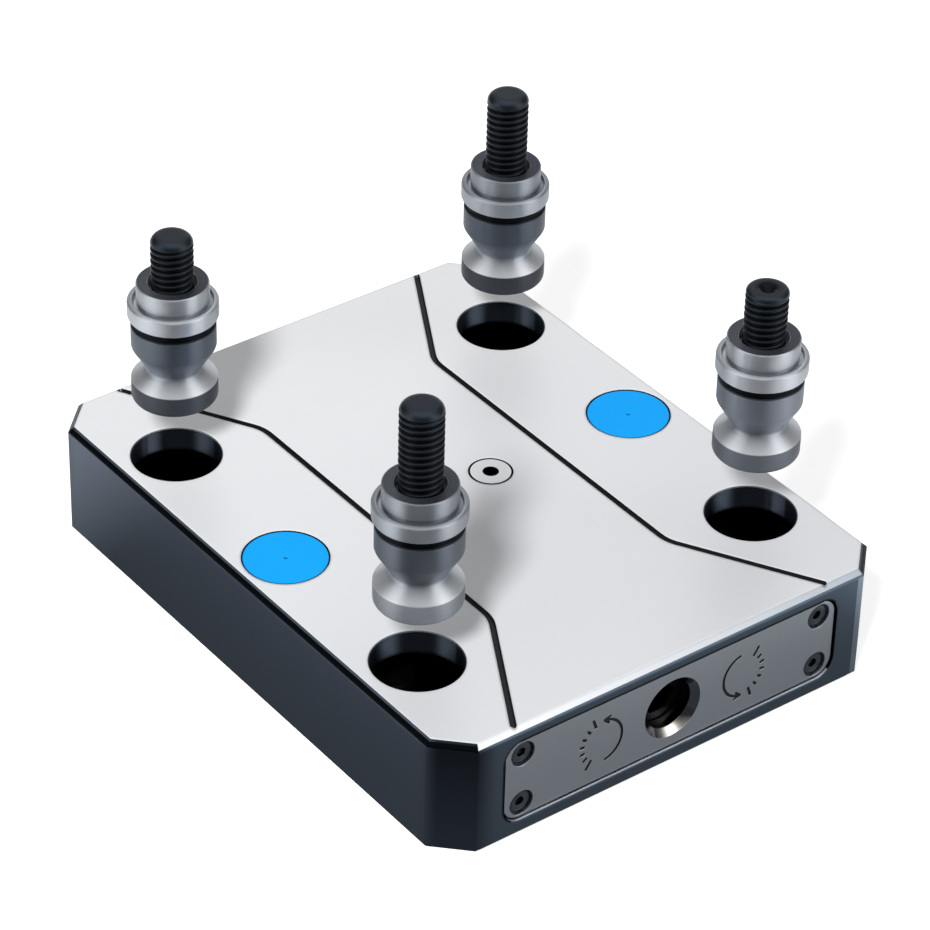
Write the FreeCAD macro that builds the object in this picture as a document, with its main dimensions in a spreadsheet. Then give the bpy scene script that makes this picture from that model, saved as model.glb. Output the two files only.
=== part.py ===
import FreeCAD, Part
import Sketcher

import math
import os
import re

# Zero-point clamping base plate with four pull studs.
# X runs along the front face, Y to the back, Z up. The origin is the middle of the underside.

SIZES = {
    # block
    "plate_width": 126.0,
    "plate_depth": 160.0,
    "plate_height": 30.0,
    "corner_cut": 8.0,
    "top_bevel": 1.4,
    "bottom_bevel": 0.8,
    # receivers for the pull studs
    "stud_pitch": 96.0,
    "bore_radius": 10.7,
    "bore_bevel": 0.3,
    "roof_thickness": 6.0,
    "chamber_radius": 11.5,
    "floor_thickness": 2.7,
    # engraved lines on the top
    "line_width": 1.5,
    "line_depth": 0.8,
    "line_bend_x": 25.3,
    "line_bend_y": 45.0,
    "line_end_x": 44.3,
    "line_end_y": 78.1,
    "line_bend_radius": 10.0,
    # mounting holes under the blue plugs
    "bolt_spacing": 100.0,
    "bolt_hole_radius": 5.5,
    "bolt_head_radius": 10.25,
    "bolt_head_depth": 16.0,
    "plug_gap": 0.2,
    "plug_height": 6.0,
    "plug_wall": 1.8,
    "plug_top": 1.6,
    "plug_dimple": 0.6,
    # lubrication nipple
    "nipple_offset": 8.6,
    "nipple_seat_radius": 5.3,
    "nipple_gap": 0.3,
    "nipple_height": 5.0,
    "nipple_hole": 1.7,
    "oil_way": 1.5,
    "oil_way_height": 22.2,
    # spindle and its bearings
    "spindle_height": 15.15,
    "thread_radius": 6.0,
    "journal_radius": 5.0,
    "spindle_bevel": 0.6,
    "spindle_end_room": 1.0,
    "flange_radius": 8.5,
    "flange_width": 4.0,
    "running_gap": 0.05,
    "free_gap": 0.3,
    "tunnel_half_width": 12.5,
    "rear_wall": 22.0,
    "mill_radius": 2.4,
    "fork_half_width": 4.0,
    "fork_seat": 7.5,
    "rear_bearing_length": 9.6,
    "rear_bearing_room": 1.8,
    "block_bevel": 1.0,
    # hub with the hex socket
    "hub_radius": 7.5,
    "hub_length": 17.4,
    "hub_bevel": 0.4,
    "hub_socket": 8.0,
    "hub_socket_depth": 7.0,
    "hub_web": 3.6,
    "hub_pin_radius": 1.5,
    "hub_pin_edge": 2.5,
    "bushing_radius": 9.5,
    "bushing_length": 12.4,
    "seal_depth": 5.4,
    "seal_thickness": 1.1,
    # slides and jaws
    "stroke": 5.0,
    "slide_room": 2.5,
    "channel_room": 1.0,
    "slide_bevel": 0.5,
    "oil_groove_width": 1.4,
    "oil_groove_depth": 0.6,
    "slide_depth": 14.0,
    "jaw_reach": 12.0,
    "guide_gap": 0.1,
    "nut_half_width": 10.0,
    "nut_depth": 10.0,
    "nut_top": 21.6,
    "jaw_width": 16.0,
    "jaw_depth": 9.0,
    "jaw_top": 14.0,
    "nose_half_width": 6.0,
    "nose_front": 6.0,
    "nose_bottom": 9.2,
    "nose_top": 13.5,
    "bite_gap": 0.3,
    # bottom cover
    "cover_sink": 0.3,
    "cover_gap": 0.2,
    "cover_lip": 2.5,
    "cover_seat": 6.5,
    "cover_corner": 3.0,
    "cover_screw_edge": 4.0,
    # front cover
    "front_width": 94.7,
    "front_height": 21.5,
    "front_corner": 4.5,
    "front_thickness": 4.8,
    "front_sink": 0.5,
    "front_gap": 0.4,
    "front_hole": 6.3,
    "front_hole_bevel": 1.6,
    "front_bevel": 0.2,
    "front_screw_inset": 4.95,
    "front_screw_edge": 3.85,
    "front_screw_sink": 0.6,
    # pull stud, heights from its underside
    "bulb_radius": 10.15,
    "bulb_bevel": 0.8,
    "bulb_height": 5.4,
    "neck_radius": 6.5,
    "neck_start": 7.9,
    "neck_end": 8.9,
    "shank_radius": 9.95,
    "shank_start": 14.4,
    "shank_end": 20.3,
    "relief_radius": 9.4,
    "ring_radius": 10.65,
    "ring_start": 22.5,
    "ring_end": 26.6,
    "ring_round": 0.55,
    "spigot_radius": 8.5,
    "spigot_relief_depth": 1.1,
    "spigot_relief_radius": 8.2,
    "spigot_end": 31.4,
    "screw_recess_radius": 5.8,
    "screw_recess_depth": 2.0,
    "stud_socket": 8.0,
    "stud_socket_depth": 6.0,
    "screw_radius": 5.0,
    "screw_core": 4.7,
    "screw_start": 8.2,
    "screw_round": 2.6,
    "cupped_screw_round": 1.2,
    "cup_radius": 2.7,
    "cup_depth": 1.2,
    # how high each stud is drawn above its bore, and how far its screw reaches from its underside
    "hover_front_left": 17.2,
    "hover_front_right": 18.2,
    "hover_rear_left": 17.25,
    "hover_rear_right": 15.1,
    "reach_front_left": 52.0,
    "reach_front_right": 44.2,
    "reach_rear_left": 43.8,
    "reach_rear_right": 51.2,
    # screws
    "small_screw_radius": 1.5,
    "small_head_radius": 2.75,
    "small_head_height": 2.0,
    "small_head_room": 3.25,
    "small_screw_length": 8.0,
    "small_socket": 2.0,
    "countersink": 1.0,
    "block_screw_radius": 2.0,
    "block_head_radius": 3.5,
    "block_head_height": 4.0,
    "block_head_room": 3.8,
    "block_head_wall": 0.8,
    "block_socket": 3.0,
    "block_screw_grip": 7.0,
    "block_screw_length": 12.6,
    "bearing_screw_grip": 14.0,
    "bearing_screw_bite": 3.0,
    "socket_depth": 1.2,
    "screw_gap": 0.05,
}

# Places that follow from the sizes above.
PLACES = {
    "half_width": "(plate_width / 2)",
    "half_depth": "(plate_depth / 2)",
    "half_pitch": "(stud_pitch / 2)",
    "ceiling": "(plate_height - roof_thickness)",
    "stud_floor": "(plate_height - ring_end)",
    # from the front face inwards
    "front_floor": "(half_depth - front_sink - front_thickness)",
    "hub_front": "(front_floor - free_gap)",
    "hub_end": "(hub_front - hub_length)",
    "hub_pin_place": "(hub_end + hub_pin_edge)",
    "seal_place": "(hub_front - seal_depth)",
    "tunnel_front": "(hub_front - bushing_length)",
    "spindle_front": "(hub_front - hub_socket_depth - hub_web - free_gap)",
    "front_screw_x": "(front_width / 2 - front_screw_inset)",
    "front_screw_z": "(front_height / 2 - front_screw_edge)",
    # from the back face inwards
    "tunnel_rear": "(half_depth - rear_wall)",
    "spindle_rear": "(tunnel_rear - spindle_end_room)",
    "bearing_rear": "(tunnel_rear - rear_bearing_room)",
    "bearing_front": "(bearing_rear - rear_bearing_length)",
    "bearing_middle": "(bearing_rear - rear_bearing_length / 2)",
    "bearing_screw_x": "(tunnel_half_width - block_head_radius - block_head_wall)",
    "thread_end": "(bearing_front - 2 * free_gap)",
    # slides, counted outwards from the middle, and the channels that they run in
    "slide_outer": "(half_pitch - jaw_reach - stroke)",
    "slide_inner": "(slide_outer - slide_depth)",
    "slide_middle": "(slide_outer - slide_depth / 2)",
    "slide_bottom": "(floor_thickness + free_gap)",
    "slide_top": "(ceiling - guide_gap)",
    "channel_outer": "(half_pitch - jaw_reach + slide_room)",
    "channel_inner": "(slide_inner - slide_room)",
    "channel_half_length": "(half_pitch + jaw_width / 2 + channel_room)",
    "slide_end": "(channel_half_length - guide_gap)",
    "jaw_screw_seat": "(slide_bottom + block_head_height + free_gap)",
    "fork_half_length": "(tunnel_half_width + fork_seat)",
    "fork_screw_x": "(fork_half_length - block_head_radius - block_head_wall)",
    # bottom cover
    "cover_spine": "(fork_half_length + cover_lip)",
    "cover_front": "(tunnel_front + cover_lip)",
    "cover_rear": "(tunnel_rear + cover_lip)",
    "cover_bar": "(channel_half_length + cover_lip)",
    "cover_bar_inner": "(channel_inner - cover_seat)",
    "cover_bar_outer": "(channel_outer + cover_lip)",
    "cover_screw_x": "(tunnel_half_width + cover_seat / 2)",
    "cover_screw_y": "(channel_inner - cover_seat / 2)",
    "right_through": "(2 * plate_depth)",
}

doc = FreeCAD.newDocument("ClampingPlate")
sheet = doc.addObject("Spreadsheet::Sheet", "Sizes")
Vector = FreeCAD.Vector


def fill_sheet():
    for row, (name, number) in enumerate(SIZES.items(), 1):
        sheet.set(f"A{row}", name)
        sheet.set(f"B{row}", str(number))
        sheet.setAlias(f"B{row}", name)
    doc.recompute()


def spelled_out(text):
    """The expression with every named place replaced by the sizes that it is worked out from."""
    while True:
        longer = re.sub(r"[a-z_]+", lambda word: PLACES.get(word.group(), word.group()), text)
        if longer == text:
            return text
        text = longer


def linked(text):
    """The expression as a property outside the sheet needs it."""
    return re.sub(
        r"[a-z_]+",
        lambda word: "Sizes." + word.group() if word.group() in SIZES else word.group(),
        spelled_out(text),
    )


def value(text):
    return float(sheet.evalExpression(spelled_out(text)))


# Sketches: every corner, centre and radius is bound to the sheet.


def new_body(label):
    body = doc.addObject("PartDesign::Body", label)
    body.Label = label
    return body


def new_sketch(body, plane, lift="0"):
    """A sketch on one of the body's origin planes, lifted along the plane's normal."""
    sketch = body.newObject("Sketcher::SketchObject", body.Label + "_sketch")
    support = next(p for p in body.Origin.OriginFeatures if p.Role == plane)
    sketch.AttachmentSupport = [(support, "")]
    sketch.MapMode = "FlatFace"
    sketch.setExpression("AttachmentOffset.Base.z", linked(lift))
    return sketch


def bind(sketch, kind, geometry, point, text):
    number = value(text)
    index = sketch.addConstraint(Sketcher.Constraint(kind, -1, 1, geometry, point, number))
    sketch.setExpression(f"Constraints[{index}]", linked(text))


def draw_outline(sketch, corners):
    """A closed outline through corners given as pairs of expressions."""
    first = sketch.GeometryCount
    count = len(corners)
    points = [Vector(value(x), value(y), 0) for x, y in corners]
    for i in range(count):
        sketch.addGeometry(Part.LineSegment(points[i], points[(i + 1) % count]), False)
    for i in range(count):
        follower = first + (i + 1) % count
        sketch.addConstraint(Sketcher.Constraint("Coincident", first + i, 2, follower, 1))
    for i, (x, y) in enumerate(corners):
        bind(sketch, "DistanceX", first + i, 1, x)
        bind(sketch, "DistanceY", first + i, 1, y)


def draw_box(sketch, left, right, low, high):
    draw_outline(sketch, [(left, low), (right, low), (right, high), (left, high)])


def draw_circle(sketch, x, y, radius):
    centre = Vector(value(x), value(y), 0)
    geometry = sketch.addGeometry(Part.Circle(centre, Vector(0, 0, 1), value(radius)), False)
    index = sketch.addConstraint(Sketcher.Constraint("Radius", geometry, value(radius)))
    sketch.setExpression(f"Constraints[{index}]", linked(radius))
    bind(sketch, "DistanceX", geometry, 3, x)
    bind(sketch, "DistanceY", geometry, 3, y)


def draw_hexagon(sketch, x, y, across_flats):
    """A hexagon with two flats level, as a key socket is cut."""
    corner = f"({across_flats}) / sqrt(3)"
    turns = [(1, 0), (0.5, 1), (-0.5, 1), (-1, 0), (-0.5, -1), (0.5, -1)]
    corners = [
        (f"({x}) + {along} * {corner}", f"({y}) + {up} * ({across_flats}) / 2") for along, up in turns
    ]
    draw_outline(sketch, corners)


# Features: each reads its length from the sheet.


def add_prism(body, kind, sketch, length, backwards=False, both_sides=False):
    feature = body.newObject("PartDesign::" + kind, body.Label + "_" + kind.lower())
    feature.Profile = sketch
    feature.Reversed = backwards
    feature.Midplane = both_sides
    feature.setExpression("Length", linked(length))
    sketch.Visibility = False
    return feature


def pad(body, sketch, length, **options):
    return add_prism(body, "Pad", sketch, length, **options)


def pocket(body, sketch, length, **options):
    """A cut, checked to have taken material away."""
    doc.recompute()
    before = body.Shape.Volume
    feature = add_prism(body, "Pocket", sketch, length, **options)
    doc.recompute()
    if body.Shape.Volume > before - 1e-6:
        raise ValueError(f"{feature.Label} cuts nothing")
    return feature


def turn(body, corners):
    """A turned piece: corners are (radius, height) expressions round the body's own Z axis."""
    sketch = new_sketch(body, "XZ_Plane")
    draw_outline(sketch, corners)
    feature = body.newObject("PartDesign::Revolution", body.Label + "_turned")
    feature.Profile = sketch
    feature.ReferenceAxis = (sketch, ["V_Axis"])
    feature.Angle = 360
    sketch.Visibility = False
    return feature


def dress(body, kind, size, wanted):
    """A bevel or rounding on every edge that the test picks out."""
    doc.recompute()
    base = body.Tip
    names = [f"Edge{i}" for i, edge in enumerate(base.Shape.Edges, 1) if wanted(edge)]
    if not names:
        raise ValueError(f"{body.Label} has no such edge")
    feature = body.newObject("PartDesign::" + kind, body.Label + "_" + kind.lower())
    feature.Base = (base, names)
    feature.setExpression("Size" if kind == "Chamfer" else "Radius", linked(size))
    doc.recompute()
    return feature


def level_edge(edge, height):
    return all(abs(v.Z - value(height)) < 1e-4 for v in edge.Vertexes)


def upright_edge(edge, x, y):
    """A straight upright edge, at the given distances from the middle planes."""
    if edge.Curve.TypeId != "Part::GeomLine":
        return False
    low, high = [v.Point for v in edge.Vertexes]
    upright = math.hypot(high.x - low.x, high.y - low.y) < 1e-4
    return upright and math.dist((abs(low.x), abs(low.y)), (value(x), value(y))) < 1e-4


def round_edge(edge, radius, height):
    curve = edge.Curve
    if curve.TypeId != "Part::GeomCircle":
        return False
    return abs(curve.Radius - value(radius)) < 1e-4 and abs(curve.Center.z - value(height)) < 1e-4


def place(body, x="0", y="0", z="0", tilt=None):
    """Moves a body to its place, tilted first if its axis isn't upright."""
    if tilt:
        body.Placement = FreeCAD.Placement(Vector(0, 0, 0), FreeCAD.Rotation(*tilt))
    for letter, text in zip("xyz", (x, y, z)):
        body.setExpression(f"Placement.Base.{letter}", linked(text))


# Own axis pointing to the back, and own axis pointing to the front.
TO_BACK = (Vector(1, 0, 0), -90)
TO_FRONT = (Vector(1, 0, 0), 90)

SIDES = {"left": "-", "right": ""}
ROWS = {"front": "-", "rear": ""}
STUDS = [(row, side) for row in ROWS for side in SIDES]


def four_spots(x, y):
    return [(f"{sx}({x})", f"{sy}({y})") for sx in SIDES.values() for sy in ROWS.values()]


def cover_screw_spots():
    """Between the channels, beside the tunnel and out at the sides, and at the tunnel's two ends."""
    spots = four_spots("cover_screw_x", "cover_screw_y") + four_spots("bolt_spacing / 2", "cover_screw_y")
    for side in SIDES.values():
        spots.append((f"{side}cover_screw_x", "-(cover_front - cover_screw_edge)"))
        spots.append((f"{side}cover_screw_x", "cover_rear - cover_screw_edge"))
    return spots


def jaw_spots(row):
    sign = ROWS[row]
    return [(f"{side}half_pitch", f"{sign}(slide_outer - jaw_depth / 2)") for side in SIDES.values()]


# Block


def cover_outline(grow):
    """Two bars across, under the slides, and a spine lengthwise, under the spindle."""
    spine, bar = f"(cover_spine + {grow})", f"(cover_bar + {grow})"
    inner, outer = f"(cover_bar_inner - {grow})", f"(cover_bar_outer + {grow})"
    front, rear = f"(cover_front + {grow})", f"(cover_rear + {grow})"
    right = [(spine, "-" + front), (spine, "-" + outer), (bar, "-" + outer), (bar, "-" + inner)]
    right += [(spine, "-" + inner), (spine, inner), (bar, inner), (bar, outer), (spine, outer), (spine, rear)]
    left = [("-" + x, y) for x, y in reversed(right)]
    return right + left


def round_cover_corners(body, grow):
    corners = [(x.strip("-"), y.strip("-")) for x, y in cover_outline(grow)]
    dress(body, "Fillet", "cover_corner", lambda e: any(upright_edge(e, *corner) for corner in corners))


def cut_cover_recess(body):
    """The recess for the bottom cover in the underside."""
    recess = new_sketch(body, "XY_Plane")
    draw_outline(recess, cover_outline("cover_gap"))
    pocket(body, recess, "floor_thickness", backwards=True)
    round_cover_corners(body, "cover_gap")


def cut_channels(body):
    """Two cross channels for the slides and a lengthwise tunnel for the spindle, milled from below.

    The tunnel leaves a web in the middle, which the spindle's two flanges run against."""
    channels = new_sketch(body, "XY_Plane")
    draw_box(channels, "-channel_half_length", "channel_half_length", "-channel_outer", "-channel_inner")
    draw_box(channels, "-channel_half_length", "channel_half_length", "channel_inner", "channel_outer")
    pocket(body, channels, "ceiling", backwards=True)
    tunnel = new_sketch(body, "XY_Plane")
    draw_box(tunnel, "-tunnel_half_width", "tunnel_half_width", "-tunnel_front", "-fork_half_width")
    draw_box(tunnel, "-tunnel_half_width", "tunnel_half_width", "fork_half_width", "tunnel_rear")
    pocket(body, tunnel, "ceiling", backwards=True)
    corners = [("channel_half_length", "channel_inner"), ("channel_half_length", "channel_outer")]
    corners += [("tunnel_half_width", "tunnel_front"), ("tunnel_half_width", "tunnel_rear")]
    dress(body, "Fillet", "mill_radius", lambda e: any(upright_edge(e, *corner) for corner in corners))
    seat = new_sketch(body, "XY_Plane")
    draw_box(
        seat,
        "-fork_half_length - guide_gap",
        "fork_half_length + guide_gap",
        "-fork_half_width",
        "fork_half_width",
    )
    pocket(body, seat, "spindle_height", backwards=True)
    saddle = new_sketch(body, "XZ_Plane")
    draw_circle(saddle, "0", "spindle_height", "thread_radius + free_gap")
    pocket(body, saddle, "2 * fork_half_width", both_sides=True)


def cut_receivers(body):
    """Four bores through the roof, each opening into a wider blind chamber."""
    spots = four_spots("half_pitch", "half_pitch")
    chambers = new_sketch(body, "XY_Plane", "ceiling")
    bores = new_sketch(body, "XY_Plane", "plate_height")
    for x, y in spots:
        draw_circle(chambers, x, y, "chamber_radius")
        draw_circle(bores, x, y, "bore_radius")
    pocket(body, chambers, "ceiling - floor_thickness")
    pocket(body, bores, "roof_thickness")
    dress(body, "Chamfer", "bore_bevel", lambda e: round_edge(e, "bore_radius", "plate_height"))


def cut_front(body):
    """The recess for the front cover, the bore for the hub's bushing and four tapped holes."""
    recess = new_sketch(body, "XZ_Plane", "half_depth")
    draw_box(
        recess,
        "-front_width / 2 - front_gap",
        "front_width / 2 + front_gap",
        "spindle_height - front_height / 2 - front_gap",
        "spindle_height + front_height / 2 + front_gap",
    )
    pocket(body, recess, "front_sink + front_thickness")
    corners = value("front_width / 2 + front_gap")
    dress(
        body,
        "Fillet",
        "front_corner + front_gap",
        lambda e: e.Curve.TypeId == "Part::GeomLine"
        and all(abs(abs(v.X) - corners) < 1e-4 for v in e.Vertexes)
        and abs(e.Length - value("front_sink + front_thickness")) < 1e-4,
    )
    bore = new_sketch(body, "XZ_Plane", "front_floor")
    draw_circle(bore, "0", "spindle_height", "bushing_radius + screw_gap")
    pocket(body, bore, "front_floor - tunnel_front")
    holes = new_sketch(body, "XZ_Plane", "front_floor")
    for x, z in four_spots("front_screw_x", "front_screw_z"):
        draw_circle(holes, x, f"spindle_height + {z}", "small_screw_radius + screw_gap")
    pocket(body, holes, "small_screw_length")


def cut_top(body):
    """Counterbored mounting holes under the plugs, the engraved lines, and the nipple's seat, whose
    oil way branches through the web into both halves of the tunnel."""
    heads = new_sketch(body, "XY_Plane", "plate_height")
    shanks = new_sketch(body, "XY_Plane", "plate_height")
    for side in SIDES.values():
        draw_circle(heads, f"{side}bolt_spacing / 2", "0", "bolt_head_radius")
        draw_circle(shanks, f"{side}bolt_spacing / 2", "0", "bolt_hole_radius")
    pocket(body, heads, "bolt_head_depth")
    pocket(body, shanks, "plate_height")
    seat = new_sketch(body, "XY_Plane", "plate_height")
    draw_circle(seat, "nipple_offset", "0", "nipple_seat_radius")
    pocket(body, seat, "nipple_height")
    oil_way = new_sketch(body, "XY_Plane", "plate_height - nipple_height")
    draw_circle(oil_way, "nipple_offset", "0", "oil_way")
    pocket(body, oil_way, "plate_height - nipple_height - oil_way_height")
    oil_branch = new_sketch(body, "XZ_Plane")
    draw_circle(oil_branch, "nipple_offset", "oil_way_height", "oil_way")
    pocket(body, oil_branch, "2 * fork_half_width", both_sides=True)
    for side in (-1, 1):
        lines = new_sketch(body, "XY_Plane", "plate_height")
        for edge in engraved_outline(side).Edges:
            lines.addGeometry(edge_curve(edge), False)
        pocket(body, lines, "line_depth")


def edge_curve(edge):
    """The edge as sketch geometry: a line segment or an arc."""
    if edge.Curve.TypeId == "Part::GeomLine":
        return Part.LineSegment(*[v.Point for v in edge.Vertexes])
    middle = edge.valueAt((edge.FirstParameter + edge.LastParameter) / 2)
    ends = [edge.valueAt(edge.FirstParameter), edge.valueAt(edge.LastParameter)]
    return Part.Arc(ends[0], middle, ends[1])


def engraved_outline(side):
    """The outline of one engraved line: straight in the middle, bent outwards to both ends."""
    bend_x, bend_y = value("line_bend_x"), value("line_bend_y")
    end_x, end_y = value("line_end_x"), value("line_end_y")
    corners = [(end_x, -end_y), (bend_x, -bend_y), (bend_x, bend_y), (end_x, end_y)]
    points = [Vector(side * x, y, 0) for x, y in corners]
    edges, start = [], points[0]
    for before, corner, after in zip(points, points[1:], points[2:]):
        arc = rounded_corner(before, corner, after, value("line_bend_radius"))
        edges += [Part.LineSegment(start, arc[0]).toShape(), Part.Arc(*arc).toShape()]
        start = arc[2]
    edges.append(Part.LineSegment(start, points[-1]).toShape())
    return Part.Wire(edges).makeOffset2D(value("line_width") / 2, 0, False, False, False)


def rounded_corner(before, corner, after, radius):
    """Start, middle and end of the arc that rounds a corner of a path."""
    back = (before - corner).normalize()
    ahead = (after - corner).normalize()
    half_angle = back.getAngle(ahead) / 2
    run = radius / math.tan(half_angle)
    inwards = (back + ahead).normalize()
    middle = corner + inwards * (radius / math.sin(half_angle) - radius)
    return corner + back * run, middle, corner + ahead * run


def cut_underside(body):
    """The tapped holes that are drilled from below."""
    holes = new_sketch(body, "XY_Plane", "floor_thickness")
    for x, y in cover_screw_spots():
        draw_circle(holes, x, y, "small_screw_radius + screw_gap")
    pocket(body, holes, "small_screw_length", backwards=True)
    fork_holes = new_sketch(body, "XY_Plane", "spindle_height")
    bearing_holes = new_sketch(body, "XY_Plane", "ceiling")
    hole = "block_screw_radius + screw_gap"
    for side in SIDES.values():
        draw_circle(fork_holes, f"{side}fork_screw_x", "0", hole)
        draw_circle(bearing_holes, f"{side}bearing_screw_x", "bearing_middle", hole)
    pocket(body, fork_holes, "block_screw_length - block_screw_grip + free_gap", backwards=True)
    pocket(body, bearing_holes, "bearing_screw_bite", backwards=True)


def base_plate():
    body = new_body("base_plate")
    sketch = new_sketch(body, "XY_Plane")
    cut_x, cut_y = "(half_width - corner_cut)", "(half_depth - corner_cut)"
    draw_outline(
        sketch,
        [
            ("-" + cut_x, "-half_depth"),
            (cut_x, "-half_depth"),
            ("half_width", "-" + cut_y),
            ("half_width", cut_y),
            (cut_x, "half_depth"),
            ("-" + cut_x, "half_depth"),
            ("-half_width", cut_y),
            ("-half_width", "-" + cut_y),
        ],
    )
    pad(body, sketch, "plate_height")
    dress(body, "Chamfer", "top_bevel", lambda e: level_edge(e, "plate_height"))
    dress(body, "Chamfer", "bottom_bevel", lambda e: level_edge(e, "0"))
    cut_cover_recess(body)
    cut_channels(body)
    cut_receivers(body)
    cut_front(body)
    cut_top(body)
    cut_underside(body)


def bottom_cover():
    """A thin plate that closes the channels, set in so that it stays off the machine table."""
    body = new_body("bottom_cover")
    sketch = new_sketch(body, "XY_Plane", "cover_sink")
    draw_outline(sketch, cover_outline("0"))
    pad(body, sketch, "floor_thickness - cover_sink")
    round_cover_corners(body, "0")
    holes = new_sketch(body, "XY_Plane", "cover_sink")
    for x, y in cover_screw_spots():
        draw_circle(holes, x, y, "small_screw_radius + screw_gap")
    pocket(body, holes, "floor_thickness", backwards=True)
    rim = "small_screw_radius + screw_gap"
    dress(body, "Chamfer", "countersink", lambda e: round_edge(e, rim, "cover_sink"))


def front_cover():
    """The plate in the front face: a bevelled hole for the key and four counterbored screw holes."""
    body = new_body("front_cover")
    sketch = new_sketch(body, "XZ_Plane", "front_floor")
    draw_box(
        sketch,
        "-front_width / 2",
        "front_width / 2",
        "spindle_height - front_height / 2",
        "spindle_height + front_height / 2",
    )
    pad(body, sketch, "front_thickness")
    dress(
        body,
        "Fillet",
        "front_corner",
        lambda e: abs(e.Length - value("front_thickness")) < 1e-4 and abs(e.Vertexes[0].X) > 1,
    )
    face = "front_floor + front_thickness"
    front_y = -value(face)
    dress(body, "Chamfer", "front_bevel", lambda e: all(abs(v.Y - front_y) < 1e-4 for v in e.Vertexes))
    key_hole = new_sketch(body, "XZ_Plane", face)
    draw_circle(key_hole, "0", "spindle_height", "front_hole")
    pocket(body, key_hole, "front_thickness")
    dress(
        body,
        "Chamfer",
        "front_hole_bevel",
        lambda e: e.Curve.TypeId == "Part::GeomCircle"
        and abs(e.Curve.Radius - value("front_hole")) < 1e-4
        and abs(e.Curve.Center.y - front_y) < 1e-4,
    )
    head_rooms = new_sketch(body, "XZ_Plane", face)
    holes = new_sketch(body, "XZ_Plane", face)
    for x, z in four_spots("front_screw_x", "front_screw_z"):
        draw_circle(head_rooms, x, f"spindle_height + {z}", "small_head_room")
        draw_circle(holes, x, f"spindle_height + {z}", "small_screw_radius + screw_gap")
    pocket(body, head_rooms, "front_screw_sink + small_head_height")
    pocket(body, holes, "front_thickness")


# Screws: one node for each set of identical screws.


def screw_set(label, plane, spots, seat, head_radius, head_height, screw_radius, shank, socket, up):
    """Cap screws whose heads bear on the level called seat; the shank runs along the plane's normal
    if up is true, and against it otherwise."""
    body = new_body(label)
    shanks = new_sketch(body, plane, seat)
    heads = new_sketch(body, plane, seat)
    top = f"{seat} {'-' if up else '+'} ({head_height})"
    sockets = new_sketch(body, plane, top)
    for x, y in spots:
        draw_circle(shanks, x, y, screw_radius)
        draw_circle(heads, x, y, head_radius)
        draw_hexagon(sockets, x, y, socket)
    pad(body, heads, head_height, backwards=up)
    pad(body, shanks, shank, backwards=not up)
    pocket(body, sockets, f"({head_height}) / 2", backwards=up)


def countersunk_set(label, spots):
    """Flat-head screws, flush with the bottom cover's underside."""
    body = new_body(label)
    shanks = new_sketch(body, "XY_Plane", "cover_sink + screw_gap")
    heads = new_sketch(body, "XY_Plane", "cover_sink + screw_gap")
    sockets = new_sketch(body, "XY_Plane", "cover_sink + screw_gap")
    for x, y in spots:
        draw_circle(shanks, x, y, "small_screw_radius")
        draw_circle(heads, x, y, "small_screw_radius + countersink - screw_gap")
        draw_hexagon(sockets, x, y, "small_socket")
    pad(body, shanks, "small_screw_length")
    cone = pad(body, heads, "countersink - screw_gap")
    cone.TaperAngle = -45
    pocket(body, sockets, "socket_depth", backwards=True)


def fasteners():
    countersunk_set("cover_screws", cover_screw_spots())
    front_spots = [
        (x, f"spindle_height + {z}") for x, z in four_spots("front_screw_x", "front_screw_z")
    ]
    screw_set(
        "front_cover_screws",
        "XZ_Plane",
        front_spots,
        "(front_floor + front_thickness - front_screw_sink - small_head_height)",
        "small_head_radius",
        "small_head_height",
        "small_screw_radius",
        "small_screw_length",
        "small_socket",
        up=False,
    )
    fork_spots = [(f"{side}fork_screw_x", "0") for side in SIDES.values()]
    block_screws("fork_screws", fork_spots, "spindle_height - block_screw_grip", "block_screw_length")
    bearing_spots = [(f"{side}bearing_screw_x", "bearing_middle") for side in SIDES.values()]
    block_screws(
        "rear_bearing_screws",
        bearing_spots,
        "ceiling - bearing_screw_grip",
        "bearing_screw_grip + bearing_screw_bite - free_gap",
    )
    for row in ROWS:
        block_screws(row + "_jaw_screws", jaw_spots(row), "jaw_screw_seat", "block_screw_length")


def block_screws(label, spots, seat, shank):
    screw_set(
        label,
        "XY_Plane",
        spots,
        f"({seat})",
        "block_head_radius",
        "block_head_height",
        "block_screw_radius",
        shank,
        "block_socket",
        up=True,
    )


# Drive


def spindle():
    """One shaft along Y: a thread on each side of the middle, of opposite hand, and two flanges that
    hold it lengthwise. The helix itself is left out of the solid."""
    body = new_body("spindle")
    flange_start = "(fork_half_width + running_gap)"
    flange_end = f"({flange_start} + flange_width)"

    def half(end):
        return [
            ("0", end),
            ("journal_radius - spindle_bevel", end),
            ("journal_radius", f"({end} - spindle_bevel)"),
            ("journal_radius", "thread_end"),
            ("thread_radius - spindle_bevel", "thread_end"),
            ("thread_radius", "(thread_end - spindle_bevel)"),
            ("thread_radius", flange_end),
            ("flange_radius", flange_end),
            ("flange_radius", flange_start),
            ("thread_radius", flange_start),
        ]

    front = [(radius, "-" + reach) for radius, reach in half("spindle_front")]
    turn(body, front + half("spindle_rear")[::-1])
    place(body, z="spindle_height", tilt=TO_BACK)
    hole = new_sketch(body, "XZ_Plane")
    draw_circle(hole, "0", "-hub_pin_place", "hub_pin_radius + screw_gap")
    pocket(body, hole, "right_through", both_sides=True)


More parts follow.
